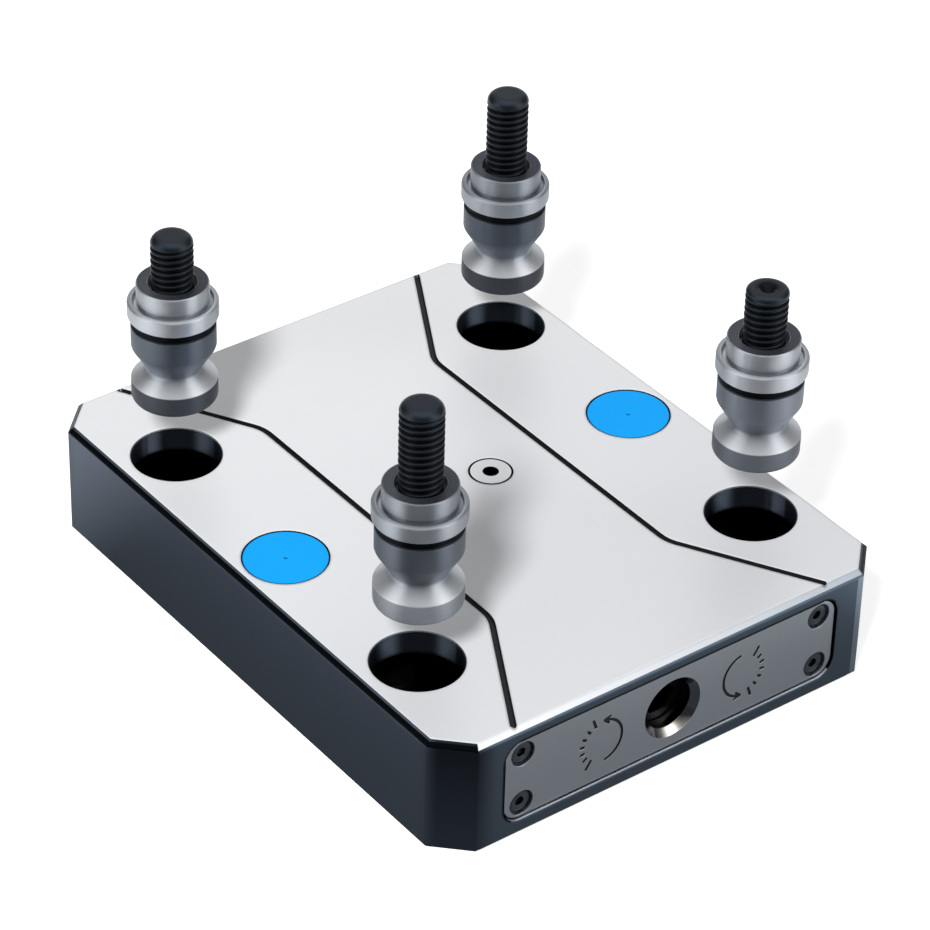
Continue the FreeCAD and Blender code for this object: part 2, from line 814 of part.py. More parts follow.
def drive_hub():
    """The hub behind the front cover: hex socket in front, bored behind for the spindle's journal."""
    body = new_body("drive_hub")
    groove = "(hub_radius - seal_thickness)"
    corners = [
        ("journal_radius + screw_gap", "hub_end"),
        ("hub_radius", "hub_end"),
        ("hub_radius", "seal_place - seal_thickness / 2 - running_gap"),
        (groove, "seal_place - seal_thickness / 2 - running_gap"),
        (groove, "seal_place + seal_thickness / 2 + running_gap"),
        ("hub_radius", "seal_place + seal_thickness / 2 + running_gap"),
        ("hub_radius", "hub_front - hub_bevel"),
        ("hub_radius - hub_bevel", "hub_front"),
        ("0", "hub_front"),
        ("0", "spindle_front + free_gap"),
        ("journal_radius + screw_gap", "spindle_front + free_gap"),
    ]
    turn(body, corners)
    socket = new_sketch(body, "XY_Plane", "hub_front")
    draw_hexagon(socket, "0", "0", "hub_socket")
    pocket(body, socket, "hub_socket_depth")
    hole = new_sketch(body, "XZ_Plane")
    draw_circle(hole, "0", "hub_pin_place", "hub_pin_radius + screw_gap")
    pocket(body, hole, "right_through", both_sides=True)
    place(body, z="spindle_height", tilt=TO_FRONT)


def drive_pin():
    """The dowel that joins hub and spindle, across both."""
    body = new_body("drive_pin")
    sketch = new_sketch(body, "XY_Plane", "spindle_height")
    draw_circle(sketch, "0", "-hub_pin_place", "hub_pin_radius")
    pad(body, sketch, "2 * hub_radius - 2 * free_gap", both_sides=True)


def hub_seal():
    """Rubber ring in the hub's groove."""
    ring = doc.addObject("Part::Torus", "hub_seal")
    ring.Label = "hub_seal"
    ring.setExpression("Radius1", linked("hub_radius - seal_thickness / 2 + running_gap / 2"))
    ring.setExpression("Radius2", linked("seal_thickness / 2 - running_gap"))
    place(ring, y="-seal_place", z="spindle_height", tilt=TO_FRONT)


def front_bushing():
    """Plain bearing for the hub in the front wall."""
    body = new_body("front_bushing")
    bore = "hub_radius + running_gap"
    corners = [(bore, "tunnel_front"), ("bushing_radius", "tunnel_front")]
    corners += [("bushing_radius", "hub_front"), (bore, "hub_front")]
    turn(body, corners)
    place(body, z="spindle_height", tilt=TO_FRONT)


def thrust_fork():
    """Block between the spindle's flanges, with a half-round saddle; it takes the push both ways."""
    body = new_body("thrust_fork")
    sketch = new_sketch(body, "XZ_Plane")
    draw_box(sketch, "-fork_half_length", "fork_half_length", "slide_bottom", "spindle_height")
    pad(body, sketch, "2 * fork_half_width - 2 * running_gap", both_sides=True)
    ends = [("fork_half_length", "fork_half_width - running_gap")]
    dress(body, "Chamfer", "block_bevel", lambda e: any(upright_edge(e, *corner) for corner in ends))
    saddle = new_sketch(body, "XZ_Plane")
    draw_circle(saddle, "0", "spindle_height", "thread_radius + running_gap")
    pocket(body, saddle, "right_through", both_sides=True)
    heads = new_sketch(body, "XY_Plane")
    holes = new_sketch(body, "XY_Plane")
    for side in SIDES.values():
        draw_circle(heads, f"{side}fork_screw_x", "0", "block_head_radius + screw_gap")
        draw_circle(holes, f"{side}fork_screw_x", "0", "block_screw_radius + screw_gap")
    pocket(body, heads, "spindle_height - block_screw_grip", backwards=True)
    pocket(body, holes, "spindle_height", backwards=True)


def rear_bearing():
    """Block round the spindle's rear journal, screwed up against the roof of the tunnel."""
    body = new_body("rear_bearing")
    width = "tunnel_half_width - screw_gap"
    sketch = new_sketch(body, "XY_Plane", "slide_bottom")
    draw_box(sketch, f"-({width})", width, "bearing_front", "bearing_rear")
    pad(body, sketch, "ceiling - slide_bottom")
    corners = [(width, "bearing_front"), (width, "bearing_rear")]
    dress(body, "Chamfer", "block_bevel", lambda e: any(upright_edge(e, *corner) for corner in corners))
    bore = new_sketch(body, "XZ_Plane", "-spindle_rear")
    draw_circle(bore, "0", "spindle_height", "journal_radius + running_gap")
    pocket(body, bore, "spindle_rear", backwards=True)
    heads = new_sketch(body, "XY_Plane")
    holes = new_sketch(body, "XY_Plane")
    for side in SIDES.values():
        draw_circle(heads, f"{side}bearing_screw_x", "bearing_middle", "block_head_radius + screw_gap")
        draw_circle(holes, f"{side}bearing_screw_x", "bearing_middle", "block_screw_radius + screw_gap")
    pocket(body, heads, "ceiling - bearing_screw_grip", backwards=True)
    pocket(body, holes, "plate_height", backwards=True)


# Slides


def slide(row):
    """A bar across the plate: a pocket for the nut block in its middle, a clearance bore for the
    spindle, a notch under each end for a jaw, and two oil grooves across the top."""
    sign = ROWS[row]
    body = new_body(row + "_slide")
    sketch = new_sketch(body, "XY_Plane", "slide_bottom")
    draw_box(sketch, "-slide_end", "slide_end", f"{sign}slide_inner", f"{sign}slide_outer")
    pad(body, sketch, "slide_top - slide_bottom")
    dress(body, "Chamfer", "slide_bevel", lambda e: level_edge(e, "slide_top"))
    grooves = new_sketch(body, "XY_Plane", "slide_top")
    for side in SIDES.values():
        middle = f"{side}(nut_half_width + slide_end) / 2"
        left, right = f"{middle} - oil_groove_width / 2", f"{middle} + oil_groove_width / 2"
        draw_box(grooves, left, right, f"{sign}slide_inner", f"{sign}slide_outer")
    pocket(body, grooves, "oil_groove_depth")
    nut_room = new_sketch(body, "XY_Plane", "slide_bottom")
    draw_box(
        nut_room,
        "-nut_half_width - screw_gap",
        "nut_half_width + screw_gap",
        f"{sign}slide_middle - nut_depth / 2",
        f"{sign}slide_middle + nut_depth / 2",
    )
    pocket(body, nut_room, "nut_top - slide_bottom", backwards=True)
    bore = new_sketch(body, "XZ_Plane")
    draw_circle(bore, "0", "spindle_height", "thread_radius + free_gap")
    pocket(body, bore, "right_through", both_sides=True)
    notches = new_sketch(body, "XY_Plane", "slide_bottom")
    for side in SIDES.values():
        draw_box(
            notches,
            f"{side}(half_pitch - jaw_width / 2)",
            f"{side}(slide_end + free_gap)",
            f"{sign}(slide_outer - jaw_depth)",
            f"{sign}(slide_outer + free_gap)",
        )
    pocket(body, notches, "jaw_top - slide_bottom", backwards=True)
    holes = new_sketch(body, "XY_Plane", "jaw_top")
    for x, y in jaw_spots(row):
        draw_circle(holes, x, y, "block_screw_radius + screw_gap")
    pocket(body, holes, "jaw_screw_seat + block_screw_length + free_gap - jaw_top", backwards=True)


def nut(row):
    """Bronze block that the spindle's thread runs in; it drives the slide by its two broad faces."""
    sign = ROWS[row]
    body = new_body(row + "_nut")
    sketch = new_sketch(body, "XY_Plane", "slide_bottom")
    draw_box(
        sketch,
        "-nut_half_width",
        "nut_half_width",
        f"{sign}slide_middle - nut_depth / 2",
        f"{sign}slide_middle + nut_depth / 2",
    )
    pad(body, sketch, "nut_top - slide_bottom")
    bore = new_sketch(body, "XZ_Plane")
    draw_circle(bore, "0", "spindle_height", "thread_radius + running_gap")
    pocket(body, bore, "right_through", both_sides=True)


def jaw(row, side):
    """Hardened jaw: a block in the slide's notch, with a nose that reaches over the stud's bulb.

    The nose is hollowed to the shape of the closed stud, and drawn back by the stroke at rest."""
    sign, across = ROWS[row], SIDES[side]
    body = new_body(f"{row}_{side}_jaw")
    block = new_sketch(body, "XY_Plane", "slide_bottom")
    draw_box(
        block,
        f"{across}half_pitch - jaw_width / 2",
        f"{across}half_pitch + jaw_width / 2",
        f"{sign}(slide_outer - jaw_depth)",
        f"{sign}slide_outer",
    )
    pad(body, block, "jaw_top - slide_bottom")
    nose = new_sketch(body, "XY_Plane", "nose_bottom")
    draw_box(
        nose,
        f"{across}half_pitch - nose_half_width",
        f"{across}half_pitch + nose_half_width",
        f"{sign}(slide_outer - jaw_depth / 2)",
        f"{sign}(half_pitch - nose_front - stroke)",
    )
    pad(body, nose, "nose_top - nose_bottom")
    hollow_out(body, f"{across}half_pitch", f"{sign}(half_pitch - stroke)")
    head = new_sketch(body, "XY_Plane", "slide_bottom")
    hole = new_sketch(body, "XY_Plane", "slide_bottom")
    for sketch, radius in ((head, "block_head_room"), (hole, "block_screw_radius + screw_gap")):
        draw_circle(sketch, f"{across}half_pitch", f"{sign}(slide_outer - jaw_depth / 2)", radius)
    pocket(body, head, "block_head_height + free_gap", backwards=True)
    pocket(body, hole, "jaw_top", backwards=True)


def hollow_out(body, x, y):
    """Turns the shape of a seated stud, grown by the bite gap, out of the nose."""
    sketch = new_sketch(body, "XZ_Plane", f"-({y})")
    corners = [
        ("0", "stud_floor - free_gap"),
        ("bulb_radius + bite_gap", "stud_floor - free_gap"),
        ("bulb_radius + bite_gap", "stud_floor + bulb_height + bite_gap / 2"),
        ("neck_radius + bite_gap", "stud_floor + neck_start + bite_gap / 2"),
        ("neck_radius + bite_gap", "stud_floor + neck_end - bite_gap / 2"),
        ("shank_radius + bite_gap", "stud_floor + shank_start - bite_gap / 2"),
        ("0", "stud_floor + shank_start - bite_gap / 2"),
    ]
    draw_outline(sketch, [(f"{x} + {radius}", height) for radius, height in corners])
    axis = sketch.addGeometry(
        Part.LineSegment(Vector(value(x), 0, 0), Vector(value(x), value("plate_height"), 0)), True
    )
    sketch.addConstraint(Sketcher.Constraint("Vertical", axis))
    bind(sketch, "DistanceX", axis, 1, x)
    doc.recompute()
    before = body.Shape.Volume
    groove = body.newObject("PartDesign::Groove", body.Label + "_hollow")
    groove.Profile = sketch
    groove.ReferenceAxis = (sketch, ["Axis0"])
    groove.Angle = 360
    doc.recompute()
    if body.Shape.Volume > before - 1e-6:
        raise ValueError(f"{body.Label} isn't hollowed")


# Top pieces


def plug(side):
    """Plastic cap pressed into the counterbore over a mounting bolt: a disc with a skirt."""
    body = new_body(side + "_plug")
    outer = "(bolt_head_radius - plug_gap)"
    top = "(plate_height - plug_gap / 2)"
    corners = [
        (f"{outer} - plug_wall", "plate_height - plug_height"),
        (outer, "plate_height - plug_height"),
        (outer, f"{top} - plug_gap"),
        (f"{outer} - plug_gap", top),
        ("plug_dimple", top),
        ("0", f"{top} - plug_dimple"),
        ("0", f"{top} - plug_top"),
        (f"{outer} - plug_wall", f"{top} - plug_top"),
    ]
    turn(body, corners)
    place(body, x=f"{SIDES[side]}bolt_spacing / 2")


def lube_nipple():
    """Flush funnel nipple, pressed in off the centre."""
    body = new_body("lube_nipple")
    outer = "(nipple_seat_radius - nipple_gap)"
    corners = [
        ("nipple_hole / 2", "plate_height - nipple_height"),
        (outer, "plate_height - nipple_height"),
        (outer, "plate_height"),
        ("nipple_hole", "plate_height"),
        ("nipple_hole / 2", "plate_height - nipple_hole"),
    ]
    turn(body, corners)
    place(body, x="nipple_offset")


# Pull studs


def stud_body(row, side):
    """Turned pull stud: bulb, neck, shank, ring and spigot, with a hex socket underneath and a
    threaded bore for its screw."""
    body = new_body(f"{row}_{side}_stud")
    corners = [
        ("0", "0"),
        ("bulb_radius - bulb_bevel", "0"),
        ("bulb_radius", "bulb_bevel"),
        ("bulb_radius", "bulb_height"),
        ("neck_radius", "neck_start"),
        ("neck_radius", "neck_end"),
        ("shank_radius", "shank_start"),
        ("shank_radius", "shank_end"),
        ("relief_radius", "shank_end"),
        ("relief_radius", "ring_start"),
        ("ring_radius", "ring_start"),
        ("ring_radius", "ring_end"),
        ("relief_radius", "ring_end"),
        ("relief_radius", "ring_end - spigot_relief_depth"),
        ("spigot_relief_radius", "ring_end - spigot_relief_depth"),
        ("spigot_relief_radius", "ring_end + free_gap"),
        ("spigot_radius", "ring_end + free_gap"),
        ("spigot_radius", "spigot_end"),
        ("screw_recess_radius", "spigot_end"),
        ("screw_recess_radius", "spigot_end - screw_recess_depth"),
        ("screw_core + screw_gap", "spigot_end - screw_recess_depth"),
        ("screw_core + screw_gap", "screw_start"),
        ("0", "screw_start"),
    ]
    turn(body, corners)
    dress(
        body,
        "Fillet",
        "ring_round",
        lambda e: round_edge(e, "ring_radius", "ring_start") or round_edge(e, "ring_radius", "ring_end"),
    )
    dress(body, "Chamfer", "bore_bevel", lambda e: round_edge(e, "spigot_radius", "spigot_end"))
    socket = new_sketch(body, "XY_Plane")
    draw_hexagon(socket, "0", "0", "stud_socket")
    pocket(body, socket, "stud_socket_depth", backwards=True)
    place_stud(body, row, side)


def stud_screw(row, side, cupped):
    """Threaded stud with a rounded tip; a cupped one has a flatter tip with a dimple."""
    body = new_body(f"{row}_{side}_screw")
    reach = f"reach_{row}_{side}"
    run_out = "(spigot_end + free_gap)"
    shank = [("0", "screw_start"), ("screw_core", "screw_start"), ("screw_core", run_out)]
    shank += [("screw_radius", run_out), ("screw_radius", reach)]
    tip = [("cup_radius", reach), ("0", f"{reach} - cup_depth")] if cupped else [("0", reach)]
    turn(body, shank + tip)
    rounding = "cupped_screw_round" if cupped else "screw_round"
    dress(body, "Fillet", rounding, lambda e: round_edge(e, "screw_radius", reach))
    place_stud(body, row, side)


def place_stud(body, row, side):
    place(
        body,
        x=f"{SIDES[side]}half_pitch",
        y=f"{ROWS[row]}half_pitch",
        z=f"plate_height + hover_{row}_{side}",
    )


def build():
    fill_sheet()
    base_plate()
    bottom_cover()
    front_cover()
    fasteners()
    spindle()
    drive_hub()
    drive_pin()
    hub_seal()
    front_bushing()
    thrust_fork()
    rear_bearing()
    for row in ROWS:
        slide(row)
        nut(row)
        for side in SIDES:
            jaw(row, side)
    for side in SIDES:
        plug(side)
    lube_nipple()
    for row, side in STUDS:
        stud_body(row, side)
        stud_screw(row, side, cupped=(row, side) == ("front", "right"))
    doc.recompute()


def sub_parts():
    return [o for o in doc.Objects if o.TypeId in ("PartDesign::Body", "Part::Torus")]


def check():
    for item in doc.Objects:
        if {"Invalid", "Error"} & set(item.State):
            raise ValueError(f"{item.Label} failed: {item.State}")
    for item in sub_parts():
        if item.Shape.isNull() or not item.Shape.isValid() or not item.Shape.Solids:
            raise ValueError(f"{item.Label} has no valid shape")


def export():
    os.makedirs("parts", exist_ok=True)
    for item in sub_parts():
        item.Shape.exportStep(f"parts/{item.Label}.step")
        print(f"{item.Label:24s} {len(item.Shape.Solids)} solid(s) {item.Shape.Volume:10.1f} mm3")


build()
check()
export()
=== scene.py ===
import math

import bmesh
import bpy
from mathutils import Euler, Matrix, Vector


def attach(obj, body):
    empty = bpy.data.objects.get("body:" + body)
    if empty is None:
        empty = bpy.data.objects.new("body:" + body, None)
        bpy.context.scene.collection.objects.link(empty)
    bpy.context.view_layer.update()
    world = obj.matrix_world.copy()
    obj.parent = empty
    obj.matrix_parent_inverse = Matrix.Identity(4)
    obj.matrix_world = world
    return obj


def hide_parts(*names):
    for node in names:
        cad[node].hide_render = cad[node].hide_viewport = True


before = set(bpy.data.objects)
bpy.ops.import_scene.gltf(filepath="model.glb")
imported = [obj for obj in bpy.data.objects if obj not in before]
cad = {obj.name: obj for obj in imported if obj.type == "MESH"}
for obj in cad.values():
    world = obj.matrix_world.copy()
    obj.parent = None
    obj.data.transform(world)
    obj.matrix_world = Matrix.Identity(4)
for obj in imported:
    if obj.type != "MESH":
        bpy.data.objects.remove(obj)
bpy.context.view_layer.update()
bpy.context.scene.view_settings.view_transform = "Standard"


# Base plate
# A block of tool steel with cut corners. Its sides are blackened blue-grey, its top, underside and
# front and rear bevels are ground bright afterwards, and two lines are engraved and filled dark.


PLATE_TOP = 0.030
END_FACE = 0.080
HALF_PITCH = 0.048
BORE_REACH = 0.0111
BORE_WALL_FOOT = 0.02395
BORE_BEVEL_FOOT = 0.02972
END_BEVEL_FOOT = 0.0289
END_BEVEL_INNER = 0.0784
INNER_SIDE = 0.0615
INNER_CORNER = 0.1325
LINE_BOTTOM = 0.02915
NIPPLE_TOP = (0.0086, 0.0, PLATE_TOP)
SEAT_REACH = 0.00536
SPINDLE_AXIS = (0.0, 0.0, 0.01515)
RECESS_HALF_LENGTH, RECESS_HALF_HEIGHT, RECESS_ROUND = 0.04285, 0.00625, 0.0053
HAIR = 0.00003


def tint(code):
    """The colour of a hex code, as the shaders take it."""
    parts = [int(code[i : i + 2], 16) / 255 for i in (0, 2, 4)]
    return [p / 12.92 if p < 0.04045 else ((p + 0.055) / 1.055) ** 2.4 for p in parts] + [1.0]


def fit(tree, kind, inputs=None, **settings):
    """Adds one node; an input is a number, a colour or another node's output."""
    made = tree.nodes.new(kind)
    for name, value in settings.items():
        setattr(made, name, value)
    for key, value in (inputs or {}).items():
        if isinstance(value, bpy.types.NodeSocket):
            tree.links.new(value, made.inputs[key])
        else:
            made.inputs[key].default_value = value
    return made


def work(tree, operation, *values):
    """A sum on numbers or on other nodes' outputs."""
    return fit(tree, "ShaderNodeMath", dict(enumerate(values)), operation=operation).outputs[0]


def spread(tree, value, low, high, first=0.0, last=1.0, easing="LINEAR"):
    """A value from low to high becomes one from first to last."""
    inputs = {"Value": value, "From Min": low, "From Max": high, "To Min": first, "To Max": last}
    return fit(tree, "ShaderNodeMapRange", inputs, interpolation_type=easing).outputs["Result"]


def smooth(tree, value, low, high, first=0.0, last=1.0):
    """The same with a soft start and end."""
    return spread(tree, value, low, high, first, last, "SMOOTHSTEP")


def times(tree, first, *others):
    """The product of several values or masks."""
    for other in others:
        first = work(tree, "MULTIPLY", first, other)
    return first


def above(tree, value, limit):
    return work(tree, "GREATER_THAN", value, limit)


def below(tree, value, limit):
    return work(tree, "LESS_THAN", value, limit)


def within(tree, value, low, high):
    """1 where value lies between low and high."""
    return times(tree, above(tree, value, low), below(tree, value, high))


def rest_of(tree, mask):
    """1 where the mask is 0."""
    return work(tree, "SUBTRACT", 1.0, mask)


def axes(tree, vector):
    """A vector's three numbers."""
    return fit(tree, "ShaderNodeSeparateXYZ", {0: vector}).outputs


def join(tree, *parts):
    """A vector of up to three numbers; the rest of it is 0."""
    return fit(tree, "ShaderNodeCombineXYZ", dict(enumerate(parts))).outputs[0]


def move(tree, operation, *vectors):
    """The vector that a sum on vectors gives."""
    made = fit(tree, "ShaderNodeVectorMath", dict(enumerate(vectors)), operation=operation)
    return made.outputs[0]


def measure(tree, operation, *vectors):
    """The number that a sum on vectors gives, such as a length."""
    made = fit(tree, "ShaderNodeVectorMath", dict(enumerate(vectors)), operation=operation)
    return made.outputs["Value"]


def off_axis(tree, across, along):
    """How far a place is from an axis, by its two distances square to it."""
    return measure(tree, "LENGTH", join(tree, across, along))


def noise(tree, place, scale, **inputs):
    inputs = {"Vector": place, "Scale": scale, "Detail": 2.0, **inputs}
    return fit(tree, "ShaderNodeTexNoise", inputs).outputs[0]


def blend(tree, share, first, second, way="MIX"):
    """The first colour where share is 0, the second where it is 1."""
    inputs = {0: share, 6: first, 7: second}
    return fit(tree, "ShaderNodeMix", inputs, data_type="RGBA", blend_type=way).outputs[2]


def layered(tree, colour, *layers):
    """A colour with others laid over it, each where its mask is 1."""
    for mask, over in layers:
        colour = blend(tree, mask, colour, over)
    return colour


def bumped(tree, strength, height, normal=None):
    """The surface's direction with a fine relief."""
    inputs = {"Strength": strength, "Distance": 0.0001, "Height": height}
    if normal is not None:
        inputs["Normal"] = normal
    return fit(tree, "ShaderNodeBump", inputs).outputs[0]


def wire(tree, shader, **outputs):
    """Links outputs to the shader's sockets of those names."""
    for label, output in outputs.items():
        tree.links.new(output, shader.inputs[label.replace("_", " ")])


def open_group(name, inputs, outputs):
    """A shader node group with its named inputs and outputs."""
    tree = bpy.data.node_groups.new(name, "ShaderNodeTree")
    for label, kind, start in inputs:
        socket = tree.interface.new_socket(label, in_out="INPUT", socket_type="NodeSocket" + kind)
        if start is not None:
            socket.default_value = start
    for label, kind in outputs:
        tree.interface.new_socket(label, in_out="OUTPUT", socket_type="NodeSocket" + kind)
    given = tree.nodes.new("NodeGroupInput").outputs
    result = tree.nodes.new("NodeGroupOutput").inputs
    return tree, given, result


def mottled(tree, fine, strength, broad, share):
    """A tone round one half, from a fine noise and some of a broad one."""
    fine = times(tree, work(tree, "SUBTRACT", fine, 0.5), strength)
    broad = times(tree, work(tree, "SUBTRACT", broad, 0.5), share)
    return work(tree, "ADD", work(tree, "ADD", fine, 0.5), broad)


def grain_group():
    """Fine scratches of a grinding wheel or an abrasive belt, stretched one way."""
    tree, given, result = open_group(
        "Grinding grain",
        [
            ("Place", "Vector", None),
            ("Stretch", "Vector", (1.0, 1.0, 1.0)),
            ("Scratches", "Float", 0.5),
        ],
        [("Tone", "Float"), ("Height", "Float")],
    )
    stretched = move(tree, "MULTIPLY", given["Place"], given["Stretch"])
    scratch = noise(tree, stretched, 1.0, Detail=3.0, Roughness=0.6)
    broad = noise(tree, given["Place"], 26.0)
    tree.links.new(mottled(tree, scratch, given["Scratches"], broad, 0.25), result["Tone"])
    tree.links.new(scratch, result["Height"])
    return tree


def rounding_group():
    """Where an edge is worn bright, and the surface's direction with its edges slightly broken."""
    tree, given, result = open_group(
        "Broken edges", [("Width", "Float", 0.0004)], [("Wear", "Float"), ("Normal", "Vector")]
    )
    soft = fit(tree, "ShaderNodeBevel", {"Radius": given["Width"]}, samples=4).outputs[0]
    flat = tree.nodes.new("ShaderNodeNewGeometry").outputs["Normal"]
    turned_by = measure(tree, "DOT_PRODUCT", soft, flat)
    tree.links.new(spread(tree, turned_by, 0.995, 0.86), result["Wear"])
    tree.links.new(soft, result["Normal"])
    return tree


GRAIN = grain_group()
BROKEN_EDGES = rounding_group()


def new_finish(name, **constants):
    """A material with its Principled shader; constants go on the shader's own sockets."""
    material = bpy.data.materials.new(name)
    material.use_nodes = True
    tree = material.node_tree
    shader = tree.nodes["Principled BSDF"]
    for label, value in constants.items():
        shader.inputs[label.replace("_", " ")].default_value = value
    return material, tree, shader


def use_group(tree, group, **inputs):
    return fit(tree, "ShaderNodeGroup", inputs, node_tree=group).outputs


def plate_finish():
    """Zones by place: ground bright top, underside and end bevels, blackened sides, glossy bore
    walls and dark grey engraved lines. On top of these, painted light and shade: shade round the
    left corner cuts, on the left face and on the blackened side bevels, a black inside, a
    reflection on the right corner cuts, a highlight and shade round the cover's recess, and shade
    towards the front of the top and the right ends of the end bevels."""
    material, tree, shader = new_finish("plate_steel_blackened_and_ground", Specular_IOR_Level=0.4)
    coords = tree.nodes.new("ShaderNodeTexCoord").outputs
    x, y, z = axes(tree, coords["Object"])
    nx, ny, nz = axes(tree, coords["Normal"])
    side_x, side_y = work(tree, "ABSOLUTE", x), work(tree, "ABSOLUTE", y)
    facing_x, facing_y = work(tree, "ABSOLUTE", nx), work(tree, "ABSOLUTE", ny)

    # the bores and the nipple's seat
    bore = (HALF_PITCH, HALF_PITCH, 0.0)
    near_bore = below(tree, measure(tree, "DISTANCE", join(tree, side_x, side_y), bore), BORE_REACH)
    bore_bevel = times(tree, near_bore, within(tree, z, BORE_BEVEL_FOOT, PLATE_TOP + 0.001))
    bore_wall = times(tree, near_bore, within(tree, z, BORE_WALL_FOOT, BORE_BEVEL_FOOT))
    seat = below(tree, measure(tree, "DISTANCE", coords["Object"], NIPPLE_TOP), SEAT_REACH)

    # what is ground bright
    flats = work(tree, "MAXIMUM", above(tree, z, PLATE_TOP - HAIR), below(tree, z, HAIR))
    end_bevel = within(tree, z, END_BEVEL_FOOT, PLATE_TOP + 0.001)
    end_bevel = times(tree, end_bevel, above(tree, side_y, END_BEVEL_INNER))
    end_bevel = times(tree, end_bevel, within(tree, facing_y, 0.6, 0.8))
    bright = times(tree, work(tree, "MAXIMUM", flats, end_bevel), rest_of(tree, seat))

    # the block's inside, painted near black as shade, and its engraved lines
    corner = work(tree, "ADD", side_x, side_y)
    inside = times(tree, below(tree, side_x, INNER_SIDE), below(tree, side_y, END_BEVEL_INNER))
    inside = times(tree, inside, below(tree, corner, INNER_CORNER))
    engraved = times(tree, within(tree, z, LINE_BOTTOM, PLATE_TOP - HAIR), inside)
    engraved = times(tree, engraved, rest_of(tree, near_bore), rest_of(tree, seat))

    # the corner cuts and the bevels along both sides: painted shade round the left cuts, darker
    # towards the top, a painted reflection on the right cuts, and painted shade on the side bevels,
    # which are blackened too
    round_corner = work(tree, "SUBTRACT", side_y, side_x)
    left_cut_painted_shade = smooth(tree, round_corner, 0.0058, 0.0130)
    left_cut_painted_shade = times(tree, left_cut_painted_shade, smooth(tree, round_corner, 0.0315, 0.0240))
    left_cut_painted_shade = times(tree, left_cut_painted_shade, spread(tree, x, 0.0, 0.05, 1.0, 0.0))
    right_cut_painted_reflection = times(tree, above(tree, corner, INNER_CORNER + 0.0009), above(tree, x, 0.0))
    right_cut_painted_reflection = times(tree, right_cut_painted_reflection, below(tree, z, 0.0284))
    side_bevel_blackened_and_shade = times(tree, within(tree, facing_x, 0.45, 0.9), above(tree, nz, 0.3))
    side_bevel_blackened_and_shade = times(tree, side_bevel_blackened_and_shade, within(tree, z, 0.0, 0.02955), below(tree, y, 0.0735))

    # the cover's recess: its lip, with a painted highlight on its lower edge and painted shade on
    # the rest, and a painted shadow line above it and to its left
    lip_highlight_and_shade = within(tree, y, 0.00002 - END_FACE, 0.0014 - END_FACE)
    lip_highlight_and_shade = times(tree, lip_highlight_and_shade, within(tree, z, 0.0012, 0.0284), below(tree, side_x, 0.05))
    across = work(tree, "MAXIMUM", work(tree, "SUBTRACT", side_x, RECESS_HALF_LENGTH), 0.0)
    upward = work(tree, "ABSOLUTE", work(tree, "SUBTRACT", z, SPINDLE_AXIS[2]))
    upward = work(tree, "MAXIMUM", work(tree, "SUBTRACT", upward, RECESS_HALF_HEIGHT), 0.0)
    shadow_line = below(tree, off_axis(tree, across, upward), RECESS_ROUND)
    upper_left = work(tree, "MAXIMUM", below(tree, x, -0.0455), above(tree, z, 0.0245))
    shadow_line = times(tree, shadow_line, below(tree, y, 0.0001 - END_FACE), upper_left)

    lengthwise = (40.0, 1800.0, 40.0)
    grain = use_group(tree, GRAIN, Place=coords["Object"], Stretch=lengthwise, Scratches=0.35)
    edges = use_group(tree, BROKEN_EDGES, Width=0.0010)
    ground = blend(tree, grain["Tone"], tint("e7e8eb"), tint("f2f3f5"))
    # painted shade: the ground top darker towards the front
    front_painted_shade = blend(tree, spread(tree, y, -0.05, 0.035), tint("ecedee"), tint("ffffff"))
    ground = blend(tree, 1.0, ground, front_painted_shade, "MULTIPLY")
    # painted shade: the end bevels darker towards their right ends
    right_end_painted_shade = times(tree, end_bevel, spread(tree, x, -0.04, 0.06))
    ground = blend(tree, right_end_painted_shade, ground, tint("a4acb5"))
    colour = layered(
        tree,
        blend(tree, grain["Tone"], tint("515e6b"), tint("5d6b7a")),
        # painted shade: the left face darker than the other blackened sides
        (below(tree, nx, -0.9), tint("4b5766")),
        # painted shade round the left corner cuts, darker towards the top
        (left_cut_painted_shade, blend(tree, spread(tree, z, 0.003, 0.027), tint("3c4552"), tint("252b34"))),
        # the side bevels are blackened, and painted near black as shade
        (side_bevel_blackened_and_shade, tint("0c0f13")),
        # painted highlight on the recess's lower edge, painted shade on its other edges
        (lip_highlight_and_shade, blend(tree, above(tree, z, 0.0054), tint("c9ced6"), tint("0d1014"))),
        (shadow_line, tint("10141a")),
        # painted reflection: the right corner cuts lighter, below the top bevel
        (right_cut_painted_reflection, tint("8b98a6")),
        # painted shade: the block's inside near black
        (inside, tint("040506")),
        (engraved, tint("1c1d20")),
        (bore_wall, tint("2c323a")),
        (bore_bevel, tint("6d737b")),
        (bright, ground),
    )
    rough = spread(tree, grain["Tone"], 0.2, 0.8, 0.36, 0.44)
    rough = work(tree, "SUBTRACT", rough, times(tree, bore_wall, 0.26))
    metallic = work(tree, "SUBTRACT", 1.0, times(tree, bright, 0.75))
    metallic = work(tree, "ADD", metallic, times(tree, end_bevel, 0.6))
    metallic = work(tree, "SUBTRACT", metallic, times(tree, engraved, 0.4))

    # boring marks on the bores' walls, whose direction is lifted so that they catch the light
    marks = times(tree, work(tree, "SINE", times(tree, z, 21000.0)), 0.03)
    relief = work(tree, "ADD", times(tree, grain["Height"], 0.04), times(tree, marks, bore_wall))
    lift = join(tree, 0.0, 0.0, times(tree, bore_wall, 0.65))
    lifted = move(tree, "NORMALIZE", move(tree, "ADD", edges["Normal"], lift))
    normal = bumped(tree, 1.0, relief, lifted)
    wire(tree, shader, Base_Color=colour, Roughness=rough, Metallic=metallic, Normal=normal)
    return material


def dress(node, material):
    """Gives a CAD node its finish."""
    slots = cad[node].data.materials
    slots.clear()
    slots.append(material)


dress("base_plate", plate_finish())


